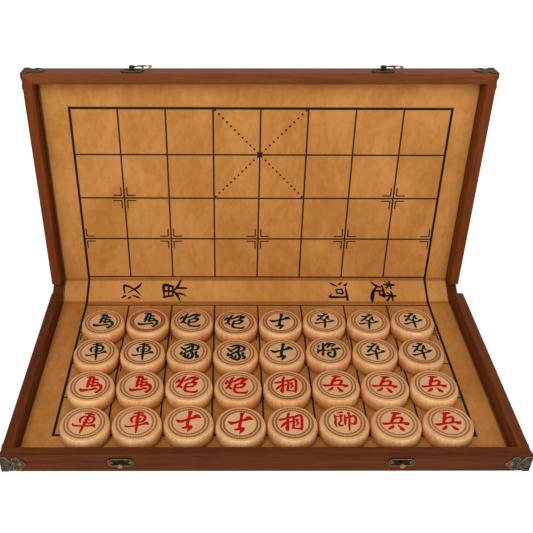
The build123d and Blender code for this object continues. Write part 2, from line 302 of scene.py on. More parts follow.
class Field:
    def __init__(self, tree, socket):
        self.tree, self.socket = tree, socket

    def math(self, operation, *others):
        node = self.tree.nodes.new("ShaderNodeMath")
        node.operation = operation
        for socket, value in zip(node.inputs, (self, *others)):
            feed(self.tree, socket, value)
        return Field(self.tree, node.outputs[0])

    def __add__(self, other):
        return self.math("ADD", other)

    def __sub__(self, other):
        return self.math("SUBTRACT", other)

    def __mul__(self, other):
        return self.math("MULTIPLY", other)

    def __truediv__(self, other):
        return self.math("DIVIDE", other)

    def __abs__(self):
        return self.math("ABSOLUTE")

    def below(self, limit):
        return self.math("LESS_THAN", limit)

    def above(self, limit):
        return self.math("GREATER_THAN", limit)

    def least(self, other):
        return self.math("MINIMUM", other)

    def most(self, other):
        return self.math("MAXIMUM", other)

    def offCentre(self, period):
        # distance to the nearest whole multiple of the period
        return abs((self / period + 0.5).math("FRACT") - 0.5) * period

    def ramp(self, low, high, start=0.0, end=1.0):
        node = self.tree.nodes.new("ShaderNodeMapRange")
        node.interpolation_type = "SMOOTHSTEP"
        for socket, value in zip(node.inputs, (self, low, high, start, end)):
            feed(self.tree, socket, value)
        return Field(self.tree, node.outputs[0])

    def split(self):
        node = self.tree.nodes.new("ShaderNodeSeparateXYZ")
        feed(self.tree, node.inputs[0], self)
        return [Field(self.tree, socket) for socket in node.outputs]

    def mapped(self, scale=(1, 1, 1), rotation=(0, 0, 0), location=(0, 0, 0)):
        node = self.tree.nodes.new("ShaderNodeMapping")
        for name, value in (("Vector", self), ("Location", location), ("Rotation", rotation),
                            ("Scale", scale)):
            feed(self.tree, node.inputs[name], value)
        return Field(self.tree, node.outputs[0])

    def noise(self, scale, detail, roughness, distortion=0.0):
        node = self.tree.nodes.new("ShaderNodeTexNoise")
        for name, value in (("Vector", self), ("Scale", scale), ("Detail", detail),
                            ("Roughness", roughness), ("Distortion", distortion)):
            feed(self.tree, node.inputs[name], value)
        return Field(self.tree, node.outputs[0])

    def cells(self, scale):
        # distance to the nearest of scattered points
        node = self.tree.nodes.new("ShaderNodeTexVoronoi")
        feed(self.tree, node.inputs["Vector"], self)
        feed(self.tree, node.inputs["Scale"], scale)
        return Field(self.tree, node.outputs["Distance"])


def blended(tree, share, first, second, kind="MIX"):
    # the first colour at a share of 0, the second at 1
    node = tree.nodes.new("ShaderNodeMix")
    node.data_type, node.blend_type = "RGBA", kind
    colours = [socket for socket in node.inputs if socket.type == "RGBA"]
    for socket, value in zip((node.inputs["Factor"], *colours), (share, first, second)):
        feed(tree, socket, value)
    return Field(tree, next(socket for socket in node.outputs if socket.type == "RGBA"))


def bumped(tree, height, distance, strength):
    node = tree.nodes.new("ShaderNodeBump")
    feed(tree, node.inputs["Height"], height)
    feed(tree, node.inputs["Distance"], distance)
    feed(tree, node.inputs["Strength"], strength)
    return Field(tree, node.outputs[0])


def effectGroup(name, inputs, outputs, build):
    # a shared effect: build gets the inputs as Fields and returns the outputs in order
    tree = bpy.data.node_groups.new(name, "ShaderNodeTree")
    for label, kind, default in inputs:
        socket = tree.interface.new_socket(name=label, in_out="INPUT", socket_type="NodeSocket" + kind)
        if default is not None:
            socket.default_value = default
    for label, kind in outputs:
        tree.interface.new_socket(name=label, in_out="OUTPUT", socket_type="NodeSocket" + kind)
    source, result = tree.nodes.new("NodeGroupInput"), tree.nodes.new("NodeGroupOutput")
    fields = build(*[Field(tree, source.outputs[label]) for label, _, _ in inputs])
    for socket, field in zip(result.inputs, fields):
        feed(tree, socket, field)
    return tree


def placed(tree, group, *values):
    # one use of a group in a material, and its outputs
    node = tree.nodes.new("ShaderNodeGroup")
    node.node_tree = group
    for socket, value in zip(node.inputs, values):
        feed(tree, socket, value)
    return [Field(tree, socket) for socket in node.outputs]


def newMaterial(name, **constants):
    # constants are plain values of the shader, with an underscore for each space in their names
    material = bpy.data.materials.new(name)
    material.use_nodes = True
    tree = material.node_tree
    shader = tree.nodes["Principled BSDF"]
    for label, value in constants.items():
        shader.inputs[label.replace("_", " ")].default_value = value
    return material, tree, shader


def coordinates(tree, kind="Object"):
    return Field(tree, tree.nodes.new("ShaderNodeTexCoord").outputs[kind])


def attribute(tree, name, output="Fac"):
    node = tree.nodes.new("ShaderNodeAttribute")
    node.attribute_name = name
    return Field(tree, node.outputs[output])


# shared effects
def timberFields(place, spread):
    # long fibres along x, slow bands of colour across them and fine dark pores
    bands = place.mapped(scale=(2.2, 26.0, 26.0)).noise(5.0, 3.0, 0.55, 0.6)
    fibres = place.mapped(scale=(14.0, 420.0, 420.0)).noise(3.0, 4.0, 0.6)
    pores = place.mapped(scale=(30.0, 900.0, 900.0)).noise(2.4, 2.0, 0.6).ramp(0.62, 0.74)
    tone = (bands - 0.5) * 0.75 * spread + (fibres - 0.5) * 0.9 * spread + 0.5
    return tone, pores, fibres * 0.6 - pores


timber = effectGroup("timber", [("Place", "Vector", None), ("Spread", "Float", 1.0)],
                     [("Tone", "Float"), ("Pores", "Float"), ("Relief", "Float")], timberFields)


def endGrainFields(place, ringSpacing):
    # a drum turned with the fibres upright: growth rings as arcs on its face, streaks down its side
    x, y, _ = place.split()
    wander = place.mapped(scale=(1, 1, 0.15)).noise(55.0, 2.0, 0.5)
    reach = (x * x + y * y).math("SQRT") + wander * 0.004
    rings = (reach / ringSpacing * fullTurn).math("SINE") * 0.5 + 0.5
    streaks = place.mapped(scale=(1, 1, 0.06)).noise(900.0, 3.0, 0.65)
    slow = place.mapped(scale=(1, 1, 0.25)).noise(70.0, 2.0, 0.5)
    specks = place.mapped(scale=(1, 1, 0.12)).noise(2600.0, 2.0, 0.5).ramp(0.6, 0.75)
    return rings, streaks, slow, specks


endGrain = effectGroup("endGrain", [("Place", "Vector", None), ("Ring Spacing", "Float", 0.0018)],
                       [("Rings", "Float"), ("Streaks", "Float"), ("Slow", "Float"), ("Specks", "Float")],
                       endGrainFields)


def handlingFields(place, amount):
    # slow patches where fingers have dulled or polished a surface
    patches = place.noise(22.0, 4.0, 0.6)
    fine = place.noise(420.0, 2.0, 0.5)
    return [((patches - 0.5) * 1.4 + (fine - 0.5) * 0.5) * amount]


handling = effectGroup("handling", [("Place", "Vector", None), ("Amount", "Float", 0.1)],
                       [("Change", "Float")], handlingFields)


def hideFields(place):
    # tanned hide: slow clouds and finer blotches drawn out along the skin, and its pebbled cells
    clouds = place.mapped(scale=(1.0, 0.6, 1.0)).noise(15.0, 5.0, 0.6, 0.6)
    blotches = place.mapped(scale=(1.0, 0.55, 1.0)).noise(120.0, 6.0, 0.72, 0.5)
    pebbles = place.cells(700.0).ramp(0.05, 0.7)
    wrinkles = place.noise(260.0, 4.0, 0.6, 0.3)
    return clouds, blotches, pebbles * 0.6 + wrinkles


hide = effectGroup("hide", [("Place", "Vector", None)],
                   [("Clouds", "Float"), ("Blotches", "Float"), ("Pebbles", "Float")], hideFields)


grid = dict(cell=53.0, rowPitch=54.2, riverMiddle=15.9, riverHalf=21.1, thin=0.95, thick=1.5,
            askew=0.003, offset=-0.45, bracketGap=3.4, bracketReach=13.6, bracketHalf=0.75,
            dotPitch=6.3, dotRadius=1.25, hubRadius=2.65)


def boardPrintFields(place):
    # the printed playing grid in millimetres: x across, q away from the middle of the river
    # the print lies a little to one side and slightly askew
    place = place.mapped(scale=(1000, 1000, 1000), location=(grid["offset"], 0, 0))
    x, along, _ = place.split()
    along = along + x * grid["askew"]
    across = abs(x)
    q = abs(along - grid["riverMiddle"])
    cell, pitch, first = grid["cell"], grid["rowPitch"], grid["riverHalf"]
    halfWidth, last = 4 * cell, first + 4 * pitch
    ragged = (place.noise(0.9, 2.0, 0.6) - 0.5) * 0.3
    inBoard = across.below(halfWidth + grid["thick"]) * q.below(last + grid["thick"])
    beyondRiver = q.above(first - grid["thin"])
    toColumn, toRow = x.offCentre(cell), (q - first).offCentre(pitch)
    thinLines = (toColumn.least(toRow) + ragged).ramp(grid["thin"] * 0.6, grid["thin"] * 1.4, 1.0, 0.0)
    edge = abs(across - halfWidth).least(abs(q - last))
    thickLines = (edge + ragged).ramp(grid["thick"] * 0.8, grid["thick"] * 1.2, 1.0, 0.0)
    # dotted diagonals of the palace, from its middle (a = b = 0) to its corners (a = b = 1)
    a, b = across / cell, abs(q - (first + 3 * pitch)) / pitch
    diagonalLength = cell * math.sqrt(2)
    count = round(diagonalLength / grid["dotPitch"])
    alongDots = abs(((a + b) * (count / 2)).math("FRACT") - 0.5) * (diagonalLength / count)
    beside = abs(a - b) * (diagonalLength / 2)
    dot = (alongDots * alongDots + beside * beside).math("SQRT")
    dots = dot.ramp(grid["dotRadius"] - 0.25, grid["dotRadius"] + 0.25, 1.0, 0.0)
    diagonal = dots * a.below(1.0) * b.below(1.0)
    fromHub = (a * a + b * b).math("SQRT") * cell
    hub = fromHub.ramp(grid["hubRadius"] - 0.35, grid["hubRadius"] + 0.35, 1.0, 0.0)
    # corner brackets around the starting points
    gap, half = grid["bracketGap"], grid["bracketHalf"]

    def brackets(dx, dy):
        near, far = dx.least(dy), dx.most(dy)
        line = (abs(near - gap) + ragged).ramp(half - 0.2, half + 0.2, 1.0, 0.0)
        return line * far.below(grid["bracketReach"]) * far.above(gap - 0.5)

    soldiers = brackets(x.offCentre(2 * cell), abs(q - (first + pitch)))
    cannons = brackets(abs(across - 3 * cell), abs(q - (first + 2 * pitch)))
    inner = (thinLines * beyondRiver).most(diagonal).most(hub).most(soldiers).most(cannons)
    ink = (inner * across.below(halfWidth)).most(thickLines) * inBoard
    return [ink]


boardPrint = effectGroup("boardPrint", [("Place", "Vector", None)], [("Ink", "Float")], boardPrintFields)


fret = dict(inner=15.6, outer=20.7, links=46)


def fretBandFields(place):
    # a running chain of pale links between two dark lines, burnt around the face of a drum
    x, y, _ = place.mapped(scale=(1000, 1000, 1000)).split()
    reach = (x * x + y * y).math("SQRT")
    turn = y.math("ARCTAN2", x) / fullTurn * float(fret["links"])
    middle, half = (fret["inner"] + fret["outer"]) / 2, (fret["outer"] - fret["inner"]) / 2
    v = (reach - middle) / half
    bulge = abs((turn * math.pi).math("SINE"))
    links = (bulge * 0.5 - abs(v)).ramp(0.0, 0.16)
    notches = (bulge * -0.5 + 1.02 - abs(v)).ramp(0.0, 0.12, 1.0, 0.0)
    lines = abs(abs(v) - 0.66).ramp(0.27, 0.39, 1.0, 0.0)
    band = abs(v).ramp(0.97, 1.05, 1.0, 0.0)
    beyond = v.ramp(0.97, 1.1)
    return lines * (notches * -0.4 + 1.0), band, links, beyond


fretBand = effectGroup("fretBand", [("Place", "Vector", None)],
                       [("Lines", "Float"), ("Band", "Float"), ("Links", "Float"), ("Beyond", "Float")],
                       fretBandFields)


# finishes
def varnishedWood(name, light, dark, rotation=(0, 0, 0), location=(0, 0, 0), gloss=0.36, spread=1.0):
    # rotation lays the fibres along the piece, and location gives it its own stretch of the timber
    material, tree, shader = newMaterial(name, Specular_IOR_Level=0.06, IOR=1.45)
    place = coordinates(tree).mapped(rotation=rotation, location=location)
    tone, pores, relief = placed(tree, timber, place, spread)
    change, = placed(tree, handling, place, 0.12)
    colour = blended(tree, tone.ramp(0.15, 0.85), dark, light)
    colour = blended(tree, pores * 0.35, colour, rail["pores"])
    feed(tree, shader.inputs["Base Color"], colour)
    feed(tree, shader.inputs["Roughness"], change + gloss)
    feed(tree, shader.inputs["Normal"], bumped(tree, relief, 0.00012, 0.5))
    return material


# of the skin's colours, the one multiplied onto the base tray's skin is painted shade, and the border
# colour paints a shadow along the skin's sides beside the rails
leather = dict(light="#cf914e", dark="#b1722f", baseTint="#f1eae5", spine="#e4aa66", spineShare=0.1,
               crease="#8a4d1a", ink="#17110d", border="#2a1408", thickness=1.2 * mm, margin=0.35 * mm,
               rim=0.25 * mm, endGap=0.3 * mm, tab=2.2 * mm, tabLength=2.2 * mm, fold=3.0 * mm,
               pitch=6.0 * mm, creaseRows=13, spineRows=17, sag=0.07 * mm, sagStart=12.0 * mm)


def tannedLeather():
    # read on the flat skin: x across the case, y from the low crease towards the lid
    material, tree, shader = newMaterial("tannedLeather", Specular_IOR_Level=0.12)
    flat = coordinates(tree, "UV")
    clouds, blotches, pebbles = placed(tree, hide, flat)
    ink, = placed(tree, boardPrint, flat)
    sideways, along, _ = flat.split()
    tone = (clouds - 0.5) + (blotches - 0.5) * 0.65 + 0.5
    colour = blended(tree, tone.ramp(0.2, 0.8), leather["dark"], leather["light"])
    beyondCrease = along.ramp(-0.003, 0.003)
    # painted shade: the skin on the base tray is multiplied darker than the skin beyond the crease, for
    # the weaker light on the level tray
    shadedBase = blended(tree, 1.0, colour, leather["baseTint"], "MULTIPLY")
    colour = blended(tree, beyondCrease, shadedBase, colour)
    onSpine = beyondCrease * along.ramp(spineWidth - 0.002, spineWidth + 0.002, 1.0, 0.0)
    colour = blended(tree, onSpine * leather["spineShare"], colour, leather["spine"])
    creaseDistance = abs(along).least(abs(along - spineWidth))
    worn = creaseDistance.ramp(0.0006, 0.0032, 0.75, 0.0)
    colour = blended(tree, worn, colour, leather["crease"])
    # painted shadow: a dark strip along both sides of the skin, where it meets the rails
    border = abs(sideways - upperShift * 0.5).ramp(halfInner - 0.0028, halfInner - 0.0012)
    colour = blended(tree, border * 0.8, colour, leather["border"])
    inkWear = blotches.ramp(0.25, 0.5, 0.92, 1.0)
    colour = blended(tree, ink * inkWear, colour, leather["ink"])
    feed(tree, shader.inputs["Base Color"], colour)
    change, = placed(tree, handling, flat, 0.16)
    feed(tree, shader.inputs["Roughness"], change + 0.6)
    feed(tree, shader.inputs["Normal"], bumped(tree, pebbles, 0.00012, 0.5))
    return material


# in millimetres; each pair of colours is what the tone of a single drum lies between
# the upper pair of colours is a painted highlight on the side's upper curve, and the colour towards the
# foot is painted shade
drum = dict(bellyRadius=25.0, faceRadius=21.3, footRadius=20.7, height=18.3, roundness=0.8, divisions=112,
            outerLine=(20.95, 20.75, 20.45, 20.35), innerLine=(15.4, 15.55, 15.8, 15.9), discRadius=15.0,
            lineDepth=0.24, bandDepth=0.1, markSize=(25.0, 23.8), markReach=57.0, markDepth=0.4,
            boldness=1.56, lowLight=("#efa761", "#f7b973"), lowDark=("#d38142", "#dd9451"),
            upperLight=("#f3bf85", "#fbd29a"), upperDark=("#dd985d", "#e6ac70"),
            faceLight=("#d9a575", "#e4b482"), faceDark=("#c39060", "#d09b69"), specks="#95623a",
            lowest="#a86129", rim="#c8823f", band="#a0612a", links="#dfae76", lines="#7a4118",
            stain="#8d4a25", creaseAngle=32)


def turnedDrumWood():
    # read at each point's place in the drum, with its own grain, tone and strength of the burnt ring
    material, tree, shader = newMaterial("turnedDrumWood", Specular_IOR_Level=0.45)
    local = attribute(tree, "local", "Vector")
    grain = attribute(tree, "grain", "Vector")
    tone, burn, stain = (attribute(tree, name) for name in ("tone", "burn", "stain"))
    rings, streaks, slow, specks = placed(tree, endGrain, grain, 0.0014)
    _, _, height = local.split()
    onFace = height.above(0.0175)
    # painted highlight: the side turns paler towards its upper curve
    upper = height.ramp(0.0095, 0.0155)

    def woodTone(kind):
        # the warm lower half of the side, its upper curve painted paler as a painted highlight, and the
        # face
        low, high, face = (blended(tree, tone, *drum[part + kind]) for part in ("low", "upper", "face"))
        return blended(tree, onFace, blended(tree, upper, low, high), face)

    mixture = (slow - 0.5) * 1.7 + (streaks - 0.5) * 1.5 + (rings - 0.5) * (onFace * 1.3 + 0.15) + 0.55
    colour = blended(tree, mixture.ramp(0.05, 0.95), woodTone("Dark"), woodTone("Light"))
    colour = blended(tree, specks * (onFace * 0.25 + 0.2), colour, drum["specks"])
    # painted shade: the side darkens towards the foot of the drum
    colour = blended(tree, height.ramp(0.0005, 0.013, 0.9, 0.0), colour, drum["lowest"])
    pattern, band, links, beyond = placed(tree, fretBand, local)
    colour = blended(tree, beyond * onFace * 0.35, colour, drum["rim"])
    colour = blended(tree, band * onFace * (burn * 0.25 + 0.72), colour, drum["band"])
    colour = blended(tree, links * onFace * (burn * -0.2 + 0.85), colour, drum["links"])
    uneven = (streaks - 0.5) * 1.6 + 1.0
    colour = blended(tree, pattern * onFace * uneven * (burn * 0.45 + 0.55), colour, drum["lines"])
    colour = blended(tree, band * onFace * stain, colour, drum["stain"])
    feed(tree, shader.inputs["Base Color"], colour)
    change, = placed(tree, handling, grain, 0.12)
    feed(tree, shader.inputs["Roughness"], change + (onFace * 0.12 + 0.4))
    relief = streaks * 0.4 + links * 0.5 - pattern * onFace
    feed(tree, shader.inputs["Normal"], bumped(tree, relief, 0.0001, 0.6))
    return material


def carvedPaint(name, colour, deep):
    # a paint or ink that covers a little unevenly, from its colour to a deeper one
    material, tree, shader = newMaterial(name, Specular_IOR_Level=0.06)
    place = coordinates(tree)
    cover = place.noise(900.0, 3.0, 0.6)
    feed(tree, shader.inputs["Base Color"], blended(tree, cover.ramp(0.35, 0.7), colour, deep))
    feed(tree, shader.inputs["Roughness"], cover * 0.3 + 0.3)
    feed(tree, shader.inputs["Normal"], bumped(tree, cover, 0.00008, 0.6))
    return material


metal = dict(bronzeDark="#3d372d", bronzeLight="#5b5344", groove="#110e0b", rubbed="#cfa468",
             brassDark="#8a5734", brassLight="#c08a5a")


def agedBronze():
    # the attribute worn is 0 in the grooves and 1 where hands have rubbed the metal bright
    material, tree, shader = newMaterial("agedBronze", Metallic=1.0)
    place = coordinates(tree)
    worn = attribute(tree, "worn")
    cloud = place.noise(260.0, 4.0, 0.65)
    specks = place.noise(1500.0, 3.0, 0.6)
    dark = blended(tree, cloud.ramp(0.3, 0.7), metal["bronzeDark"], metal["bronzeLight"])
    dark = blended(tree, worn.ramp(0.0, 0.3), metal["groove"], dark)
    rubbed = (worn + (specks - 0.5) * 0.4).ramp(0.5, 1.0)
    colour = blended(tree, rubbed, dark, metal["rubbed"])
    feed(tree, shader.inputs["Base Color"], colour)
    feed(tree, shader.inputs["Roughness"], rubbed * -0.22 + cloud * 0.25 + 0.42)
    feed(tree, shader.inputs["Normal"], bumped(tree, specks + cloud, 0.00006, 0.6))
    return material


def nailBrass():
    # brass that is dulled in patches
    material, tree, shader = newMaterial("nailBrass", Metallic=1.0)
    place = coordinates(tree)
    cloud = place.noise(900.0, 3.0, 0.6)
    colour = blended(tree, cloud.ramp(0.3, 0.7), metal["brassDark"], metal["brassLight"])
    feed(tree, shader.inputs["Base Color"], colour)
    feed(tree, shader.inputs["Roughness"], cloud * 0.3 + 0.3)
    return material


# painted light: the lid's rails are lighter than the base's and its top rail lighter still, where the lid
# catches more light, and the base's right rail is lighter than its left, where light from the left falls
# on it
rail = dict(light="#6b3614", dark="#4b2009", lidLight="#7d3e19", lidDark="#5c270a", lidTopLight="#834926",
            lidTopDark="#633012", rightLight="#773f1e", rightDark="#562911", pores="#2a0e05")
panel = dict(light="#7f4527", dark="#5f2f18", spineLight="#7a4124", spineDark="#5c2d16", gloss=0.45,
             spread=1.3)
finishes = {
    "base_front_rail": varnishedWood("frontRailWood", rail["light"], rail["dark"]),
    "base_left_rail": varnishedWood("leftRailWood", rail["light"], rail["dark"],
                                    (0, 0, quarter), (0.3, 0, 0)),
    "base_right_rail": varnishedWood("rightRailWood", rail["rightLight"], rail["rightDark"],
                                     (0, 0, quarter), (0.7, 0, 0)),
    "lid_front_rail": varnishedWood("lidRailWood", rail["lidTopLight"], rail["lidTopDark"],
                                    (-lidTilt, 0, 0)),
    "lid_left_rail": varnishedWood("lidLeftRailWood", rail["lidLight"], rail["lidDark"],
                                   (-lidTilt, 0, quarter), (0.5, 0, 0)),
    "lid_right_rail": varnishedWood("lidRightRailWood", rail["lidLight"], rail["lidDark"],
                                    (-lidTilt, 0, quarter), (0.9, 0, 0)),
    "base_panel": varnishedWood("basePanelWood", panel["light"], panel["dark"],
                                gloss=panel["gloss"], spread=panel["spread"]),
    "lid_panel": varnishedWood("lidPanelWood", panel["light"], panel["dark"],
                               (-lidTilt, 0, 0), (0, 0.4, 0), panel["gloss"], panel["spread"]),
    "spine_panel": varnishedWood("spinePanelWood", panel["spineLight"], panel["spineDark"],
                                 (-spineTilt, 0, 0), (0.2, 0, 0), panel["gloss"]),
    "spine_left_strip": varnishedWood("leftStripWood", rail["light"], rail["dark"],
                                      (-spineTilt, 0, quarter), (1.3, 0, 0)),
    "spine_right_strip": varnishedWood("rightStripWood", rail["light"], rail["dark"],
                                       (-spineTilt, 0, quarter), (1.6, 0, 0)),
}
for node, finish in finishes.items():
    mesh = frame["nodes"][node].data
    mesh.materials.clear()
    mesh.materials.append(finish)
leatherFinish, drumFinish, bronze, brass = tannedLeather(), turnedDrumWood(), agedBronze(), nailBrass()
paintTones = dict(red=("#c50b0b", "#9a0705"), green=("#06281a", "#031a11"), ink=("#0d0a08", "#1a130e"))
paints = {colour: carvedPaint(colour + "Paint", *paintTones[colour]) for colour in ("red", "green")}
inkFinish = carvedPaint("riverInk", *paintTones["ink"])
print("finishes ready")


# leather: two skins that meet in the middle of the spine
def skinPoint(x, s, z):
    # the flat skin laid on the three boards; s runs from the low crease towards the lid
    # within fold of a crease a point moves over from one board to the next
    fold = leather["fold"]
    onBase = onBoard("base", x, -s, z)
    onSpine = onBoard("spine", x, s, z)
    onLid = onBoard("lid", x, s - spineWidth, z)
    lowShare = smoothStep((s + fold) / (2 * fold))[..., None]
    highShare = smoothStep((s - spineWidth + fold) / (2 * fold))[..., None]
    lower = onBase * (1 - lowShare) + onSpine * lowShare
    return np.where((s < spineWidth / 2)[..., None], lower, onSpine * (1 - highShare) + onLid * highShare)


def leatherSkin(name, start, end, crease, nodes):
    # a grid over the flat skin from start to end, denser at its crease, closed below, with rounded borders
    half = halfInner - leather["margin"]
    fold, pitch, rim = leather["fold"], leather["pitch"], leather["rim"]
    far, spineMiddle = (start, end) if abs(start - crease) > abs(end - crease) else (end, start)
    away, length = np.sign(far - crease), abs(far - crease)
    spread = crease + away * np.linspace(1.5 * fold, length, int(length / pitch))
    near = crease + away * np.linspace(0, 1.5 * fold, leather["creaseRows"])[:-1]
    rest = np.linspace(crease, spineMiddle, leather["spineRows"])
    along = np.unique(np.round(np.concatenate([spread, near, rest]), 7))
    across = np.linspace(-half, half, int(2 * half / pitch))
    across = np.concatenate([[-half], across[:1] + rim, across[1:-1], across[-1:] - rim, [half]])
    s, x = np.meshgrid(along, across, indexing="ij")
    drop = np.where((np.abs(x) > half - rim / 2), rim, 0.0)
    # between the rails' ends the skin spreads to the case's own width
    spare = leather["tab"] * smoothStep((leather["tabLength"] - np.abs(s - crease)) / (0.5 * mm))
    x = x + np.sign(x) * spare * smoothStep((np.abs(x) - half + 4 * mm) / (3 * mm))
    drop = np.maximum(drop, np.where(np.abs(s - far) < 1e-6, rim, 0.0))
    # the skin sags a little between the places where it is glued, away from its border and its crease
    fromEdge = np.minimum(half - np.abs(x), np.abs(s - crease)) / leather["sagStart"]
    waves = np.sin(x * 71 + s * 23) + np.sin(x * 37 - s * 83 + 1.7) + np.sin(x * 19 + s * 131 + 0.6)
    z = -drop - leather["sag"] * (0.5 + waves / 6) * smoothStep(fromEdge)
    top, foot = skinPoint(x, s, z), skinPoint(x, s, np.full_like(x, -leather["thickness"]))
    rows, columns = x.shape
    count = rows * columns
    faces = gridFaces(rows, columns) + [face[::-1] for face in gridFaces(rows, columns, first=count)]
    number = np.arange(count).reshape(rows, columns)
    loop = np.concatenate([number[0], number[1:, -1], number[-1, -2::-1], number[-2:0:-1, 0]])
    after = np.roll(loop, -1)
    faces += np.stack([after, loop, loop + count, after + count], 1).tolist()
    piece = newPiece(name, np.concatenate([top.reshape(-1, 3), foot.reshape(-1, 3)]), faces, leatherFinish)
    # the print's own coordinates follow the skin from the base tray onto the shifted upper boards
    printed = x + upperShift * smoothStep((s + fold) / (2 * fold))
    flat = np.tile(np.stack([printed.ravel(), s.ravel()], 1), (2, 1))
    uv = piece.data.uv_layers.new(name="flat")
    corners = np.empty(len(piece.data.loops), int)
    piece.data.loops.foreach_get("vertex_index", corners)
    uv.data.foreach_set("uv", flat[corners].ravel())
    ends = [skinPoint(np.zeros(1), np.array([crease + side * fold]), np.zeros(1))[0] for side in (-1, 1)]
    start, end = ((0.0, point[1], point[2]) for point in ends)
    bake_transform(piece)
    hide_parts(*nodes)


skinDepth = innerDepth - leather["endGap"]
leatherSkin("lowerLeather", -skinDepth, spineWidth / 2, 0.0,
            ["base_leather", "spine_leather"])
leatherSkin("upperLeather", spineWidth / 2, spineWidth + skinDepth, spineWidth,
            ["lid_leather"])
print("leather laid")

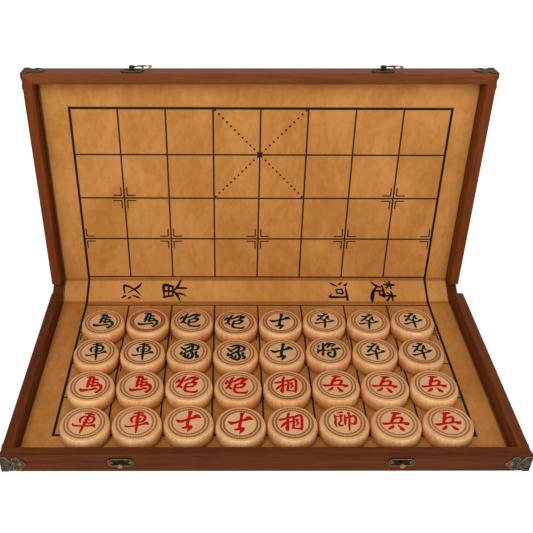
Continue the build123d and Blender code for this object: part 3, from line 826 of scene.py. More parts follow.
# brush marks: each stroke is a smooth line of (x, y, brush width), in hundredths of the mark's size
marks = {
    "chariot": [
        [(-3, 69, 6), (-3, 58, 10), (-3, 40, 9), (-2, 10, 10), (-1, -15, 9), (1, -38, 7), (2, -56, 3)],
        [(-22, 51, 7), (-4, 55, 8), (17, 58, 8)],
        [(-4, 37, 6), (-20, 36, 7), (-29, 26, 9), (-30, 15, 9), (-22, 2, 4)],
        [(-2, 42, 6), (14, 43, 8), (26, 37, 9), (28, 22, 9), (19, 9, 8), (2, 7, 6)],
        [(-13, 20, 4), (0, 22, 7), (11, 24, 6)],
        [(-13, 7, 4), (-2, 9, 6)],
        [(-52, -11, 3), (-44, -19, 8), (-20, -16, 7), (8, -9, 7), (28, -2, 8), (39, 3, 12), (52, -6, 3)],
    ],
    "horse": [
        [(-10, 57, 8), (-13, 40, 9), (-17, 18, 10), (-19, -7, 8)],
        [(-25, 52, 6), (-8, 60, 9), (7, 66, 5)],
        [(3, 61, 8), (4, 40, 8), (2, 20, 8), (1, -3, 8)],
        [(-12, 49, 6), (4, 50, 6)],
        [(-15, 27, 6), (3, 28, 6)],
        [(-18, 5, 5), (2, 7, 6)],
        [(3, 38, 7), (20, 36, 9)],
        [(2, 20, 7), (23, 17, 9)],
        [(0, -6, 7), (16, 1, 8), (31, 4, 10), (40, -6, 10), (41, -22, 9), (36, -40, 9), (29, -48, 8),
         (16, -37, 3)],
        [(-50, -18, 4), (-41, -28, 12), (-20, -26, 9), (0, -24, 8), (14, -18, 9), (23, -23, 7)],
    ],
    "cannon": [
        [(-21, 64, 7), (-27, 45, 9), (-32, 28, 10), (-38, 10, 9), (-47, -4, 8), (-59, -14, 3)],
        [(-49, 43, 6), (-53, 30, 9), (-56, 17, 5)],
        [(-52, 27, 8), (-36, 31, 8), (-18, 30, 7)],
        [(-42, 2, 6), (-34, -8, 9), (-29, -16, 4)],
        [(-20, 29, 6), (-8, 38, 9), (8, 50, 10), (24, 64, 8)],
        [(10, 46, 6), (26, 50, 9), (35, 46, 10), (21, 36, 9), (10, 22, 7)],
        [(-9, 12, 7), (8, 19, 7), (27, 19, 10), (23, 6, 9), (12, -5, 8), (-8, -6, 7)],
        [(-10, 14, 7), (-15, 0, 8), (-17, -20, 9), (-12, -32, 9), (5, -37, 8), (25, -38, 9), (34, -35, 8),
         (38, -24, 3)],
    ],
    "advisor": [
        [(14, 66, 10), (10, 54, 12), (5, 35, 8), (0, 15, 9), (-5, -5, 9), (-6, -22, 9)],
        [(-54, 18, 3), (-44, 10, 10), (-34, 8, 11), (-14, 13, 8), (8, 20, 9), (26, 24, 10), (37, 31, 14),
         (53, 23, 6)],
        [(-27, -25, 6), (-14, -24, 9), (0, -20, 9), (9, -22, 10), (1, -33, 9), (-8, -45, 3)],
    ],
    "pawn": [
        [(-7, 66, 5), (4, 58, 9)],
        [(-26, 40, 11), (-15, 38, 8), (-4, 41, 9), (7, 49, 10), (17, 55, 7)],
        [(-7, 35, 7), (-19, 21, 9), (-34, 7, 9)],
        [(-18, 17, 6), (-6, 6, 9)],
        [(20, 40, 8), (16, 29, 11), (5, 17, 5)],
        [(13, 27, 7), (21, 14, 9)],
        [(-49, -11, 4), (-39, -17, 10), (-18, -12, 7), (6, -8, 7), (24, -4, 8), (35, 2, 12), (46, 4, 4)],
        [(3, 12, 8), (1, -12, 9), (-1, -32, 9), (-3, -53, 6)],
    ],
    "soldier": [
        [(-9, 59, 6), (8, 55, 11), (25, 58, 8)],
        [(6, 53, 10), (-3, 38, 11), (-13, 18, 10), (-21, 0, 9)],
        [(-8, 21, 6), (8, 28, 8), (23, 28, 10), (24, 16, 9), (12, 0, 8)],
        [(-58, 5, 4), (-47, -2, 11), (-20, -1, 8), (6, -1, 8), (26, -2, 9), (37, -8, 14), (48, -3, 4)],
        [(-15, -13, 4), (-24, -24, 11), (-41, -35, 5)],
        [(2, -14, 4), (9, -26, 9), (14, -37, 13), (21, -41, 5)],
    ],
    "minister": [
        [(-52, 19, 9), (-34, 22, 9), (-14, 27, 8), (3, 34, 7)],
        [(-12, 62, 8), (-15, 40, 9), (-18, 15, 9), (-21, -12, 9), (-25, -31, 13), (-23, -45, 3)],
        [(-18, 8, 7), (-32, -3, 9), (-42, -14, 9), (-52, -26, 4)],
        [(-18, 2, 6), (-4, 7, 7)],
        [(6, 34, 7), (5, 8, 8), (1, -16, 9), (-2, -30, 8)],
        [(4, 28, 8), (20, 36, 9), (34, 41, 10), (39, 28, 9), (37, 0, 9), (33, -28, 9), (31, -43, 4)],
        [(11, 15, 5), (21, 17, 8), (17, 7, 6), (22, -2, 8), (13, -14, 5)],
        [(-2, -29, 7), (14, -33, 7), (32, -34, 9)],
    ],
    "marshal": [
        [(-13, 61, 9), (-31, 50, 5)],
        [(-49, 45, 4), (-41, 32, 8), (-39, 12, 8), (-42, -8, 9), (-37, -27, 5)],
        [(-38, 31, 6), (-22, 33, 7), (-14, 38, 10), (-18, 24, 7), (-16, 12, 8), (-21, 1, 6)],
        [(-20, 2, 6), (-28, -8, 7), (-23, -20, 9), (-13, -18, 8)],
        [(20, 65, 11), (18, 42, 9), (17, 10, 8), (15, -16, 8), (13, -47, 4)],
        [(-1, 38, 6), (1, 22, 8), (-1, 4, 9), (-2, -13, 6)],
        [(2, 25, 7), (20, 30, 7), (36, 38, 9), (44, 30, 9), (43, 10, 9), (36, -8, 10), (23, -6, 6)],
    ],
    "general": [
        [(-48, 50, 5), (-45, 38, 9), (-45, 28, 4)],
        [(-26, 68, 8), (-24, 44, 9), (-26, 15, 8), (-27, -6, 7), (-31, -18, 9), (-29, -31, 4)],
        [(-53, -11, 6), (-47, 2, 9), (-30, 10, 8), (-8, 9, 6), (14, 11, 7)],
        [(-51, 18, 5), (-47, 3, 8)],
        [(1, 66, 8), (-11, 48, 8), (-19, 36, 4)],
        [(13, 60, 8), (3, 43, 9), (-6, 30, 7)],
        [(31, 66, 8), (28, 50, 9), (15, 37, 6)],
        [(14, 60, 6), (31, 62, 7)],
        [(27, 18, 7), (38, 22, 12), (51, 23, 9)],
        [(14, 24, 6), (23, 14, 8), (25, -6, 9), (22, -28, 9), (10, -38, 9), (-3, -30, 8), (-7, -14, 8),
         (2, -5, 8), (8, -14, 4)],
    ],
    "elephant": [
        [(8, 61, 9), (1, 51, 9), (-12, 42, 9), (-26, 38, 5)],
        [(9, 57, 9), (22, 44, 9), (36, 34, 10), (37, 20, 9), (28, 8, 8), (12, 3, 6)],
        [(-39, 24, 6), (-28, 11, 9), (-20, 0, 6)],
        [(-20, 12, 7), (-6, 22, 8), (8, 36, 8)],
        [(12, 44, 9), (12, 18, 8), (5, 0, 9), (12, -22, 9), (12, -42, 9), (2, -54, 9), (-14, -48, 9),
         (-31, -36, 5)],
        [(2, 2, 8), (-14, -10, 8), (-23, -18, 8), (-20, -34, 8)],
        [(-36, -9, 7), (-39, -25, 8), (-26, -18, 6)],
        [(-3, -22, 5), (-7, -37, 9)],
        [(28, -9, 9), (26, -24, 8), (34, -41, 11), (25, -53, 4)],
    ],
}
# each mark's boldness, its width and height against the others, and the middle that it is centred on
brushed = {
    "chariot": dict(bold=0.97, wide=0.91, tall=1.09, middle=(-5, 5)),
    "horse": dict(bold=1.03, wide=0.95, tall=1.04, middle=(-7, 1)),
    "cannon": dict(bold=1.0, wide=0.99, tall=1.03, middle=(-1, 7)),
    "advisor": dict(bold=1.1, wide=0.91, tall=1.12, middle=(0, 5)),
    "pawn": dict(bold=0.85, wide=0.98, tall=1.05, middle=(0, 5)),
    "soldier": dict(bold=0.92, wide=1.02, tall=1.01, middle=(1, 3)),
    "minister": dict(bold=0.92, wide=0.99, tall=1.02, middle=(0, 1)),
    "marshal": dict(bold=0.87, wide=0.97, tall=1.01, middle=(-3, 4)),
    "general": dict(bold=1.0, wide=0.98, tall=1.0, middle=(-2, 9)),
    "elephant": dict(bold=1.02, wide=1.0, tall=1.01, middle=(-4, -5)),
}
waterStrokes = [
    [(-44, 42, 4), (-38, 36, 7), (-33, 30, 8)],
    [(-50, 14, 4), (-45, 9, 7), (-40, 4, 7)],
    [(-49, -42, 3), (-38, -26, 7), (-28, -6, 3)],
]
riverWords = {
    "firstRiverWord": [
        *waterStrokes,
        [(-16, 30, 4), (12, 35, 6), (36, 34, 9), (24, 6, 7), (-2, -24, 6), (-30, -44, 2)],
        [(-10, 14, 3), (10, -10, 6), (30, -32, 9), (54, -44, 3)],
    ],
    "secondRiverWord": [
        [(-30, 45, 7), (-24, 6, 5)],
        [(-30, 45, 4), (0, 49, 6), (30, 47, 9), (22, 8, 6)],
        [(-26, 26, 4), (24, 28, 5)],
        [(-24, 8, 5), (22, 10, 5)],
        [(0, 47, 6), (-1, 8, 6)],
        [(0, 8, 4), (-18, -10, 7), (-54, -28, 2)],
        [(2, 4, 4), (22, -12, 7), (55, -26, 4)],
        [(-12, -12, 4), (-15, -32, 6), (-26, -54, 2)],
        [(15, -12, 5), (15, -34, 7), (14, -54, 4)],
    ],
    "thirdRiverWord": [
        *waterStrokes,
        [(-20, 32, 4), (12, 36, 7), (54, 39, 8)],
        [(36, 37, 6), (38, 0, 7), (36, -44, 9), (18, -38, 2)],
        [(-10, 16, 6), (-8, -14, 5)],
        [(-10, 15, 4), (16, 17, 7), (12, -12, 6)],
        [(-8, -13, 5), (14, -11, 5)],
    ],
    "fourthRiverWord": [
        [(-46, 34, 4), (-28, 38, 6), (-10, 40, 4)],
        [(-28, 53, 6), (-28, 30, 6), (-30, 10, 4)],
        [(-28, 34, 4), (-48, 14, 2)],
        [(-26, 32, 3), (-14, 20, 5)],
        [(4, 38, 4), (24, 42, 6), (46, 42, 4)],
        [(24, 55, 6), (24, 34, 6), (22, 12, 4)],
        [(22, 37, 4), (6, 18, 2)],
        [(26, 35, 3), (44, 20, 6)],
        [(-26, 2, 4), (0, 6, 6), (26, 7, 8), (16, -8, 4)],
        [(0, 4, 5), (0, -14, 6), (0, -32, 5)],
        [(2, -12, 4), (20, -10, 5)],
        [(-18, -4, 4), (-24, -24, 7), (-46, -46, 2)],
        [(-22, -20, 3), (0, -36, 7), (30, -45, 10), (55, -46, 3)],
    ],
}


dab = dict(sides=14, turned=0.11, perPoint=4, narrowest=0.4)


def brushShapes(strokes, size, turn, boldness):
    # every stroke as a row of capsules, each the hull of two round dabs of the brush, turned in place
    shapes = []
    angle = np.linspace(0, 2 * np.pi, dab["sides"], endpoint=False) + dab["turned"]
    way = np.stack([np.cos(angle), np.sin(angle)], 1)
    spin = np.array([[math.cos(turn), math.sin(turn)], [-math.sin(turn), math.cos(turn)]])
    scale = size[0] / 100, size[1] / 100, boldness * min(size) / 100
    for stroke in strokes:
        line = smoothPath(stroke, dab["perPoint"]) * scale
        middle, half = line[:, :2] @ spin, np.maximum(line[:, 2], dab["narrowest"]) / 2
        reach = middle @ way.T + half[:, None]
        rims = middle[:, None] + half[:, None, None] * way
        shapes += list(np.where((reach[1:] > reach[:-1])[..., None], rims[1:], rims[:-1]))
    return shapes


# the thirty-two drums: the sign of each rank where it is not the rank's own name, how many degrees single
# drums are turned, and how strongly their ring is burnt and stained
signs = {"red": {"general": "marshal", "elephant": "minister"}, "green": {"soldier": "pawn"}}
turnedBy = {"red_chariot_1": -17, "red_chariot_2": -3, "red_soldier_5": 10, "red_soldier_4": 3,
            "green_soldier_3": 7, "green_soldier_4": 5, "green_soldier_5": 7, "red_soldier_3": 6,
            "green_horse_1": -3, "red_advisor_1": 4, "green_chariot_1": 2}
darkBands = {"green_horse_2": (0.9, 0.75), "green_cannon_2": (0.95, 0.1), "red_elephant_1": (1.0, 0.3),
             "red_advisor_2": (0.9, 0.1), "red_elephant_2": (0.8, 0.05), "green_chariot_2": (0.8, 0.0),
             "green_soldier_5": (0.6, 0.35), "green_advisor_1": (0.5, 0.3)}
drift = dict(turn=3, tilt=(0.03, 0.14), acrossHeart=(0.015, 0.05), besideHeart=(-0.02, 0.02),
             burn=(0.1, 0.6))


def drumProfile():
    # foot, side as half a rounded ellipse, then two turned lines around a slightly lower band
    top, line, band = drum["height"], drum["lineDepth"], drum["bandDepth"]
    angle = np.linspace(-quarter, quarter, 30)
    bulge = (drum["bellyRadius"] - drum["faceRadius"]) * np.cos(angle) ** drum["roundness"]
    rise = np.sign(np.sin(angle)) * np.abs(np.sin(angle)) ** drum["roundness"]
    side = np.stack([drum["faceRadius"] + bulge, top / 2 * (1 + rise)], 1)
    depths = (0, line, line, band)
    outer = [(radius, top - depth) for radius, depth in zip(drum["outerLine"], depths)]
    inner = [(radius, top - depth) for radius, depth in zip(drum["innerLine"], depths)]
    foot, disc = [(0, 0), (drum["footRadius"], 0)], [(drum["discRadius"], top)]
    return np.vstack([foot, side, outer, inner[::-1], disc])


def inside(stroke):
    # a stroke whose ends are drawn in where they would cross the ring
    reach = np.hypot(stroke[:, 0], stroke[:, 1]) + stroke[:, 2] / 2
    stroke[:, :2] *= np.minimum(1, drum["markReach"] / reach)[:, None]
    return stroke


def buildDrum(name, centre, chooser):
    # a turned shell whose top inside the rings is a flat disc with the mark cut into it
    colour, rank = name.split("_")[:2]
    turn = math.radians(turnedBy.get(name, chooser.uniform(-drift["turn"], drift["turn"])))
    body, faces = turnedShell(drumProfile(), drum["divisions"])
    rim = body[-drum["divisions"]:, :2]
    mark = signs[colour].get(rank, rank)
    brush = brushed[mark]
    strokes = [inside(np.array(stroke, float) - (*brush["middle"], 0)) for stroke in marks[mark]]
    size = drum["markSize"][0] * brush["wide"], drum["markSize"][1] * brush["tall"]
    strokes = brushShapes(strokes, size, turn, drum["boldness"] * brush["bold"])
    plan, triangles, owners = cutPlan([rim, *strokes])
    inMark = np.array([max(owner) > 0 for owner in owners])
    count = len(plan)
    top = np.full(count, drum["height"])
    wood, cut = triangles[~inMark], triangles[inMark] + count
    markEdges = borderEdges(triangles[inMark])
    walls = np.column_stack([markEdges, markEdges[:, ::-1] + count])
    disc = np.vstack([np.column_stack([plan, top]), np.column_stack([plan, top - drum["markDepth"]])])
    woodCount = len(faces) + len(wood)
    points, faces = joined([(body, faces), (disc, wood.tolist() + cut.tolist() + walls.tolist())])
    painted = np.arange(len(faces)) >= woodCount
    mesh = bpy.data.meshes.new(name + "_drum")
    mesh.from_pydata((points * mm).tolist(), [], faces)
    mesh.polygons.foreach_set("material_index", painted.astype(np.int32))
    cleaned(mesh, dissolve=False)
    # the drum's own stretch of the timber: turned, leaning a little and off the heart of the tree
    local = pointsOf(mesh)
    spin, tilt = chooser.uniform(0, fullTurn), chooser.uniform(*drift["tilt"])
    heart = [chooser.uniform(*drift[way]) for way in ("acrossHeart", "besideHeart")]
    heart = np.array([*heart, chooser.uniform(0, 0.5)])
    turned = local @ np.array([[math.cos(spin), -math.sin(spin), 0], [math.sin(spin), math.cos(spin), 0],
                               [tilt, 0, 1]]).T
    for label, values in (("local", local), ("grain", turned + heart)):
        layer = mesh.attributes.new(label, "FLOAT_VECTOR", "POINT")
        layer.data.foreach_set("vector", values.astype(np.float32).ravel())
    burn, stain = darkBands.get(name, (chooser.uniform(*drift["burn"]), 0.0))
    for label, value in (("tone", chooser.uniform(0, 1)), ("burn", burn), ("stain", stain)):
        setPointValues(mesh, label, np.full(len(local), value))
    mesh.vertices.foreach_set("co", (local + centre).ravel())
    mesh.shade_smooth()
    mesh.set_sharp_from_angle(angle=math.radians(drum["creaseAngle"]))
    mesh.materials.append(drumFinish)
    mesh.materials.append(paints[colour])
    piece = bpy.data.objects.new(name + "_drum", mesh)
    scene.collection.objects.link(piece)
    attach(piece, name + "_piece")
    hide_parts(name)
    "drum_wood_" + colour


chooser = np.random.default_rng(7)
for name in sorted(node for node in frame["nodes"] if node.startswith(("red_", "green_"))):
    low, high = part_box(name)
    buildDrum(name, np.array([(low.x + high.x) / 2, (low.y + high.y) / 2, low.z]), chooser)
print("drums turned")

# river words, printed on the spine; each is turned so that its head points along the case
words = dict(ink=0.11, sunk=0.05, boldness=1.75,
             firstRiverWord=dict(place=-157.0, turn=quarter, size=(22.0, 27.0)),
             secondRiverWord=dict(place=-103.0, turn=quarter, size=(28.0, 28.0)),
             thirdRiverWord=dict(place=103.0, turn=-quarter, size=(23.5, 25.5)),
             fourthRiverWord=dict(place=157.0, turn=-quarter, size=(30.0, 29.0)))
for name, strokes in riverWords.items():
    word = words[name]
    plan, triangles, _ = cutPlan(brushShapes(strokes, word["size"], word["turn"], words["boldness"]))
    lift = np.repeat([words["ink"], -words["sunk"]], len(plan)) * mm
    x, y = np.tile(plan, (2, 1)).T * mm
    points = onBoard("spine", x + word["place"] * mm - upperShift, y + spineWidth / 2, lift)
    newPiece(name, points, slabFaces(triangles, len(plan)), inkFinish, "spine", slot="tan_leather")
print("river words printed")


# corner guards: one sheet folded round the upright edge, and a foot let into the underside
# lengths along a flange start where its fold ends; a scroll is (along, up from the middle, radius, hand)
trays = {"base": "base_tray", "lid": "lid_tray"}
guard = dict(height=21.0, wrap=0.9, root=6.0, waist=10.8, neck=3.4, lobeAt=15.0, lobeInset=0.6,
             lobeRadius=4.4, eyeAt=18.6, eyeRadius=5.0, eyeGroove=2.9, bridgeHalf=2.2, tip=25.2,
             tipHalf=3.9, holeRadius=1.75, thickness=0.98, bead=0.18, carving=0.42, spacing=0.42,
             scrolls=[(4.0, -5.2, 4.0, 1), (4.0, 5.2, 4.0, -1), (15.0, -5.3, 3.4, -1), (15.0, 5.3, 3.4, 1),
                      (8.6, 0.0, 2.8, 1)],
             foot=12.0, footLobe=4.4, footInset=1.0, footThickness=0.98, footBead=0.1, footCarving=0.25,
             footSpacing=0.55, footScrolls=[(-5.5, -5.5, 5.0, 1), (-12.5, -12.5, 3.2, -1)])


def scroll(x, y, centreX, centreY, radius, handed):
    # a carved spiral: 1 in its groove, fading out at its radius
    dx, dy = x - centreX, y - centreY
    reach = np.hypot(dx, dy)
    phase = handed * np.arctan2(dy, dx) + 2.6 * np.log(reach + 0.4)
    groove = np.exp(-((1 - np.cos(phase)) / 0.55) ** 2)
    return groove * smoothStep((radius - reach) / 0.8)


def edgeWork(distance, thickness, bead):
    # an edge that falls off, then a raised bead just inside it
    fall = 0.35 * np.clip(1 - distance / 0.35, 0, 1) ** 2
    return thickness - fall + bead * (np.exp(-((distance - 0.75) / 0.35) ** 2) - 1)


def flangeShapes():
    # the flat outline of both flanges, side by side from the fold at x = 0, and the holes at their eyes
    g = guard
    middle, wrap, eyeRadius = g["height"] / 2, g["wrap"], g["eyeRadius"]
    eye, waist, root = g["eyeAt"] + wrap, g["waist"] + wrap, g["root"] + wrap
    tipFoot = eye + eyeRadius / 2
    lobeRise = middle - g["lobeInset"] - g["lobeRadius"]
    outlines = [
        [(0, 0), (root, 0), (waist, middle - g["neck"]), (waist, middle + g["neck"]), (root, g["height"]),
         (0, g["height"])],
        [(tipFoot, middle - g["tipHalf"]), (g["tip"] + wrap, middle), (tipFoot, middle + g["tipHalf"])],
        [(waist - 1, middle - g["bridgeHalf"]), (eye, middle - g["bridgeHalf"]),
         (eye, middle + g["bridgeHalf"]), (waist - 1, middle + g["bridgeHalf"])],
    ]
    shapes, holes = [], []
    for side in (-1, 1):
        plate, tip, bridge = (np.array(outline) * (side, 1) for outline in outlines)
        lobes = [circle(side * (g["lobeAt"] + wrap), middle + lobe * lobeRise, g["lobeRadius"])
                 for lobe in (-1, 1)]
        shapes += [plate, *lobes, circle(side * eye, middle, eyeRadius), tip, bridge]
        holes.append(circle(side * eye, middle, g["holeRadius"], 20))
    return shapes, holes


def flangeHeight(x, y, distance):
    # scrolls and a groove round the eye, sunk into a plate with a bead along its edge
    across, up = np.abs(x) - guard["wrap"], y - guard["height"] / 2
    fromEye = np.hypot(across - guard["eyeAt"], up)
    carved = np.exp(-((fromEye - guard["eyeGroove"]) / 0.35) ** 2)
    for place in guard["scrolls"]:
        carved = np.maximum(carved, scroll(across, up, *place))
    carved *= smoothStep((distance - 0.9) / 0.5) * smoothStep((across - 0.3) / 0.8)
    return edgeWork(distance, guard["thickness"], guard["bead"]) - guard["carving"] * carved


def footHeight(x, y, distance):
    # two scrolls sunk into a plate with a lower bead
    carved = sum(scroll(x, y, *place) for place in guard["footScrolls"])
    carved *= smoothStep((distance - 0.8) / 0.5)
    return edgeWork(distance, guard["footThickness"], guard["footBead"]) - guard["footCarving"] * carved


def buildGuard(board, sign, name, body):
    # in millimetres from the middle of the board's crease, for the right corner; sign mirrors it
    points, faces, height = reliefPlate(*flangeShapes(), guard["spacing"], flangeHeight)
    # fold it: beyond the wrap a point lies on a face of the tray, within it on an arc about its edge
    turn = np.clip(points[:, 0] / guard["wrap"], -1, 1) * math.pi / 4
    run = np.maximum(np.abs(points[:, 0]) - guard["wrap"], 0)
    onFront = points[:, 0] > 0
    lift = points[:, 2]
    x = halfCase / mm - np.where(onFront, run, 0) + lift * np.sin(math.pi / 4 - turn)
    y = trayDepth / mm - np.where(onFront, 0, run) + lift * np.cos(math.pi / 4 - turn)
    z = points[:, 1] - boardThickness / mm
    # the foot: a square with three lobes, face down
    f, lobe = guard["foot"], guard["footLobe"]
    footShapes = [np.array([(-f, -f), (0, -f), (0, 0), (-f, 0)], float)]
    footShapes += [circle(-a, -b, lobe) for a, b in ((f, f), (f, f / 2), (f / 2, f))]
    footPoints, footFaces, footRise = reliefPlate(footShapes, [], guard["footSpacing"], footHeight)
    footZ = guard["footInset"] - boardThickness / mm - footPoints[:, 2]
    foot = np.stack([halfCase / mm + footPoints[:, 0], trayDepth / mm + footPoints[:, 1], footZ], 1)
    points, faces = joined([(np.stack([x, y, z], 1), faces), (foot, footFaces)])
    x, y, z = (points * (sign, 1, 1) * mm).T
    piece = newPiece(name, onBoard(board, x, y, z), faces, bronze, body, [name], "dark_bronze", 50)
    # worn: a tenth in the carving, a third over the plain metal and 0.8 along the bead
    above = height - (guard["thickness"] - guard["bead"])
    worn = 0.33 + np.minimum(above, 0) * 0.55 + np.maximum(above, 0) * 2.6
    worn = np.concatenate([worn, worn * 0, footRise * 0 + 0.3, footRise * 0])
    setPointValues(piece.data, "worn", np.clip(worn, 0, 1))


for board, body in trays.items():
    for side, sign in (("left", -1), ("right", 1)):
        buildGuard(board, sign, f"{board}_{side}_corner_guard", body)
print("corner guards folded")

# latches: plates on both trays, studs below, posts and hooks above
# in millimetres on a latch's own axes; stud and post are profiles of (radius, height out of the rail)
latch = dict(inset=8.3, plateLength=24.6, plateWidth=9.6, plateThickness=1.95, rimWidth=0.9, floor=1.1,
             holeAt=9.1, holeRadius=0.95, boreRadius=1.5, bossRadius=3.7, catchBoss=2.4, hookBoss=3.8,
             spacing=0.36, standoff=4.0, hookThickness=1.4, reach=17.0, voxel=0.13, headAt=5.4,
             stud=[(0, -5.9), (1.4, -5.9), (1.4, 2.3), (2.42, 2.4), (2.48, 2.6), (2.48, 3.3), (2.2, 3.55),
                   (1.75, 3.65), (1.68, 3.9), (1.68, 5.5), (2.2, 5.8), (2.48, 6.0), (2.48, 6.3),
                   (2.25, 6.58), (1.9, 6.66), (1.3, 6.6), (1.0, 6.25), (0, 6.15)],
             post=[(0, -5.9), (1.4, -5.9), (1.4, 5.6), (2.7, 5.65), (2.88, 5.85), (2.75, 6.3), (2.3, 6.6),
                   (1.95, 6.55), (1.8, 6.35), (1.6, 6.55), (0.9, 6.74), (0, 6.79)])


def latchPlace(board, joint):
    # where a latch lies across its own board
    return joint["pos_m"][0] - boards[board][0][0]


def latchFrame(board, joint):
    # a latch's own axes: first up the rail, second along it, third out of it
    _, out, up = boards[board]
    place = latchPlace(board, joint), trayDepth, wallHeight - latch["inset"] * mm
    return onBoard(board, *map(np.array, place)), up, acrossCase, out


def atLatch(board, joint, points):
    origin, first, second, third = latchFrame(board, joint)
    points = np.asarray(points).reshape(-1, 3) * mm
    return origin + points[:, :1] * first + points[:, 1:2] * second + points[:, 2:] * third


def plateHeight(bossTop):
    # a raised rim, a boss that falls off from its middle as a parabola, and a leaf on both sides of it
    rimTop, floorTop, bossRadius = latch["plateThickness"], latch["floor"], latch["bossRadius"]

    def heightOf(x, y, distance):
        rim = smoothStep((latch["rimWidth"] - distance) / 0.4)
        fall = 0.3 * np.clip(1 - distance / 0.3, 0, 1) ** 2
        fromMiddle = np.hypot(x, y)
        height = floorTop + (rimTop - floorTop) * rim - fall
        boss = bossTop - (fromMiddle / bossRadius) ** 2 * (bossTop - floorTop)
        leaf = 0.22 * np.exp(-((np.abs(x) - 2.6 - 0.05 * y ** 2) / 0.5) ** 2)
        return np.maximum(height, np.where(fromMiddle < bossRadius, boss, 0)) + leaf * (1 - rim)
    return heightOf


def buildPlate(name, board, joint, bossTop):
    # an obround plate: a bar with a disc at each end, two nail holes and a bore
    half = (latch["plateLength"] - latch["plateWidth"]) / 2
    radius = latch["plateWidth"] / 2
    ends = [circle(0, side * half, radius, 48) for side in (-1, 1)]
    bar = np.array([(-radius, -half), (radius, -half), (radius, half), (-radius, half)])
    holes = [circle(0, side * latch["holeAt"], latch["holeRadius"], 18) for side in (-1, 1)]
    holes.append(circle(0, 0, latch["boreRadius"], 20))
    points, faces, height = reliefPlate([bar, *ends], holes, latch["spacing"], plateHeight(bossTop))
    piece = newPiece(name, atLatch(board, joint, points), faces, bronze, trays[board], [name],
                     "dark_bronze", 50)
    # worn: the rim up to 0.8, the floor and the boss hardly
    beyondBoss = np.hypot(points[:len(height), 0], points[:len(height), 1]) > latch["bossRadius"]
    worn = np.clip((height - latch["floor"] - 0.35) / 0.6, 0, 0.72) * beyondBoss + 0.08
    setPointValues(piece.data, "worn", np.concatenate([worn, height * 0]))


def hookShape():
    # post at the origin, stud at (reach, 0): an eye, a bowed arm, a claw round the stud and a thumb spur
    reach = latch["reach"]
    arm = smoothPath([(0.4, 2.3), (reach * 0.28, 3.15), (reach * 0.55, 3.4), (reach * 0.8, 3.3),
                      (reach + 0.8, 3.05)], 9)
    spur = smoothPath([(6.6, 3.3), (8.8, 3.0), (10.6, 1.8), (11.4, 0.2), (11.6, -1.6), (11.1, -2.6)], 8)
    claw = ringBar((reach + 0.8, 0.0), 3.1, 2.0, 1.7, quarter, -math.radians(200), 34)
    eye = ringBar((0.0, 0.0), 2.55, 1.75, 1.35)
    return joined([sweptBar(arm, np.linspace(2.3, 2.5, len(arm)), np.linspace(1.35, 1.7, len(arm))),
                   sweptBar(spur, 2.1, 1.6), claw, eye])


def fuse(piece, voxel):
    # one skin over shells that run into each other
    modifier = piece.modifiers.new("fuse", "REMESH")
    modifier.mode, modifier.voxel_size, modifier.use_smooth_shade = "VOXEL", voxel, True
    soften = piece.modifiers.new("soften", "SMOOTH")
    soften.factor, soften.iterations = 0.5, 3
    skin = bpy.data.meshes.new_from_object(piece.evaluated_get(bpy.context.evaluated_depsgraph_get()))
    piece.modifiers.clear()
    skin.materials.clear()
    skin.materials.append(bronze)
    old, piece.data = piece.data, skin
    bpy.data.meshes.remove(old)
    skin.shade_smooth()


def buildHook(side, joint):
    # laid on the lid's latch at the angle that the hook has at rest, and worn towards its claw
    points, faces = hookShape()
    piece = newPiece(f"{side}_hook_shell", points * mm, faces, bronze)
    fuse(piece, latch["voxel"] * mm)
    x, y, z = (pointsOf(piece.data) / mm).T
    turn = -math.radians(joint["range_deg"][0])
    turned = np.stack([x * math.cos(turn) - y * math.sin(turn), x * math.sin(turn) + y * math.cos(turn),
                       z + latch["standoff"] + latch["hookThickness"] / 2], 1)
    piece.data.vertices.foreach_set("co", atLatch("lid", joint, turned).ravel())
    worn = 0.22 + 0.3 * smoothStep((x - 8) / 3) + 0.35 * smoothStep((x - 13) / 2)
    setPointValues(piece.data, "worn", worn)
    piece.name = f"{side}_hook"
    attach(piece, f"{side}_hook")
    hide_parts(f"{side}_latch_hook")


def headWear(piece, board, radius):
    # 0.72 on the heads, within the radius of their own axis, and a dark 0.12 elsewhere
    points = pointsOf(piece.data)
    rubbed = np.zeros(len(points), bool)
    for joint in sides.values():
        origin, first, second, third = latchFrame(board, joint)
        away = (points - origin) / mm
        rubbed |= (np.hypot(away @ first, away @ second) < radius) & (away @ third >= latch["headAt"])
    return np.where(rubbed, 0.72, 0.12)


sides = {side: joints[f"{side}_hook_swing"] for side in ("left", "right")}
for side, joint in sides.items():
    buildPlate(f"{side}_catch_plate", "base", joint, latch["catchBoss"])
    buildPlate(f"{side}_latch_plate", "lid", joint, latch["hookBoss"])
    buildHook(side, joint)
for name, board, profile, headRadius in (("catch_studs", "base", latch["stud"], 3.0),
                                         ("latch_posts", "lid", latch["post"], 2.0)):
    points, faces = turnedShell(profile, 40)
    shells = [(atLatch(board, joint, points), faces) for joint in sides.values()]
    piece = newPiece(name + "_turned", *joined(shells), bronze, trays[board], [name], "dark_bronze", 40)
    setPointValues(piece.data, "worn", headWear(piece, board, headRadius))
print("latches fitted")

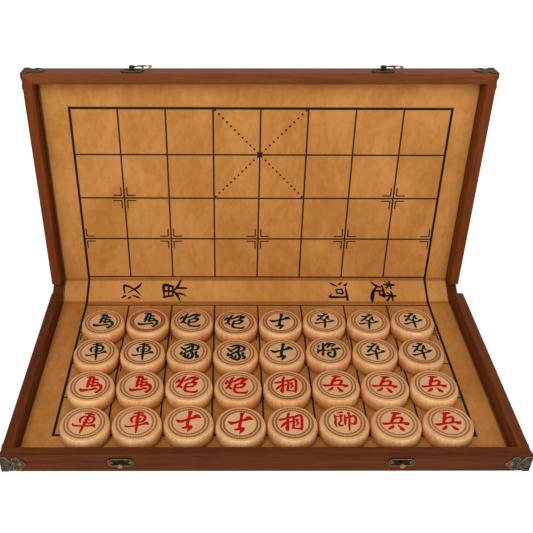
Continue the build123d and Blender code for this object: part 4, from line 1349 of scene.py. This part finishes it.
# nails with domed heads, at the guards' eyes and the plates' holes; the profile is (radius, height)
nails = dict(divisions=20, guardSeat=0.55, plateSink=0.35,
             profile=[(0, -4.9), (0.35, -4.9), (0.68, -4.3), (0.68, 0.0), (1.5, 0.02), (1.5, 0.2),
                      (1.38, 0.38), (1.05, 0.53), (0.55, 0.61), (0, 0.63)])
nailPoints, nailFaces = turnedShell(nails["profile"], nails["divisions"])
for board, body in trays.items():
    shells = []
    for joint in sides.values():
        for side in (-1, 1):
            seat = nailPoints + (0, side * latch["holeAt"], latch["floor"] - nails["plateSink"])
            shells.append((atLatch(board, joint, seat), nailFaces))
    piece = newPiece(f"{board}_plate_nails", *joined(shells), bronze, body, slot="nail_brass",
                     creaseAngle=40)
    setPointValues(piece.data, "worn", np.full(len(piece.data.vertices), 0.25))
    shells = []
    height = guard["height"] / 2 * mm - boardThickness
    eyeAt = guard["eyeAt"] * mm
    a, b, c = (nailPoints * mm).T
    seat = c + nails["guardSeat"] * mm
    for sign in (-1, 1):
        front = onBoard(board, sign * (halfCase - eyeAt) + a, trayDepth + seat, height + b)
        flank = onBoard(board, sign * (halfCase + seat), trayDepth - eyeAt + a, height + b)
        shells += [(front, nailFaces), (flank, nailFaces)]
    newPiece(f"{board}_nails_domed", *joined(shells), brass, body, [f"{board}_nails"], "nail_brass", 40)
print("nails driven")

# floor, light and camera
floor = dict(reach=6.0, drop=0.0002, colour="#f4f3f1", patches="#f1f0ee", glow=0.46)
daylight = dict(seen=0.46, cast=0.54)


def seenBy(tree, *rays):
    # 1 for the two named kinds of ray, 0 for all others
    path = tree.nodes.new("ShaderNodeLightPath")
    first, second = (Field(tree, path.outputs[ray]) for ray in rays)
    return first.most(second)


material, tree, shader = newMaterial("paleFloor", Roughness=0.9)
shade = coordinates(tree).noise(0.6, 1.0, 0.5).ramp(0.3, 0.7)
feed(tree, shader.inputs["Base Color"], blended(tree, shade, floor["colour"], floor["patches"]))
feed(tree, shader.inputs["Emission Color"], "#ffffff")
seen = seenBy(tree, "Is Camera Ray", "Is Glossy Ray")
feed(tree, shader.inputs["Emission Strength"], seen * floor["glow"])
plane = bpy.data.meshes.new("floor")
reach = floor["reach"]
plane.from_pydata([(-reach, -reach, 0), (reach, -reach, 0), (reach, reach, 0), (-reach, reach, 0)], [],
                  [(0, 1, 2, 3)])
plane.materials.append(material)
floorPiece = bpy.data.objects.new("floor", plane)
floorPiece.location.z = -floor["drop"]
scene.collection.objects.link(floorPiece)

world = bpy.data.worlds.new("studio")
world.use_nodes = True
scene.world = world
tree = world.node_tree
sky = tree.nodes["Background"]
sky.inputs["Color"].default_value = (1, 1, 1, 1)
seen = seenBy(tree, "Is Camera Ray", "Is Transmission Ray")
feed(tree, sky.inputs["Strength"], seen * daylight["seen"] + daylight["cast"])

lamps = {
    "keyLamp": dict(place=(-0.65, -1.5, 1.8), size=1.0, power=24.0),
    "fillLamp": dict(place=(1.1, -1.8, 0.9), size=1.3, power=8.0),
    "backLamp": dict(place=(0.2, 1.3, 1.4), size=1.0, power=4.0),
}
aim = Vector((0, 0.02, 0.1))
for name, lamp in lamps.items():
    light = bpy.data.lights.new(name, "AREA")
    light.size, light.energy = lamp["size"], lamp["power"]
    piece = bpy.data.objects.new(name, light)
    piece.location = lamp["place"]
    piece.rotation_mode = "QUATERNION"
    piece.rotation_quaternion = (aim - Vector(lamp["place"])).to_track_quat("-Z", "Y")
    scene.collection.objects.link(piece)

camera = dict(place=(-0.0354, -0.6070, 0.5586), down=36.497, yaw=0.148, roll=0.06, focal=742.1, image=533,
              axisX=230.15, axisY=298.36)
lens = bpy.data.cameras.new("camera")
lens.sensor_width = 36.0
lens.lens = camera["focal"] / camera["image"] * lens.sensor_width
lens.shift_x = (camera["image"] / 2 - camera["axisX"]) / camera["image"]
lens.shift_y = (camera["axisY"] - camera["image"] / 2) / camera["image"]
viewer = bpy.data.objects.new("camera", lens)
viewer.location = camera["place"]
viewer.rotation_mode = "QUATERNION"
turns = [("Z", -camera["yaw"]), ("X", 90 - camera["down"]), ("Z", camera["roll"])]
facing = Matrix.Identity(3)
for axis, degrees in turns:
    facing = facing @ Matrix.Rotation(math.radians(degrees), 3, axis)
viewer.rotation_quaternion = facing.to_quaternion()
scene.collection.objects.link(viewer)
scene.camera = viewer
scene.view_settings.view_transform = "Standard"

print("stage set")
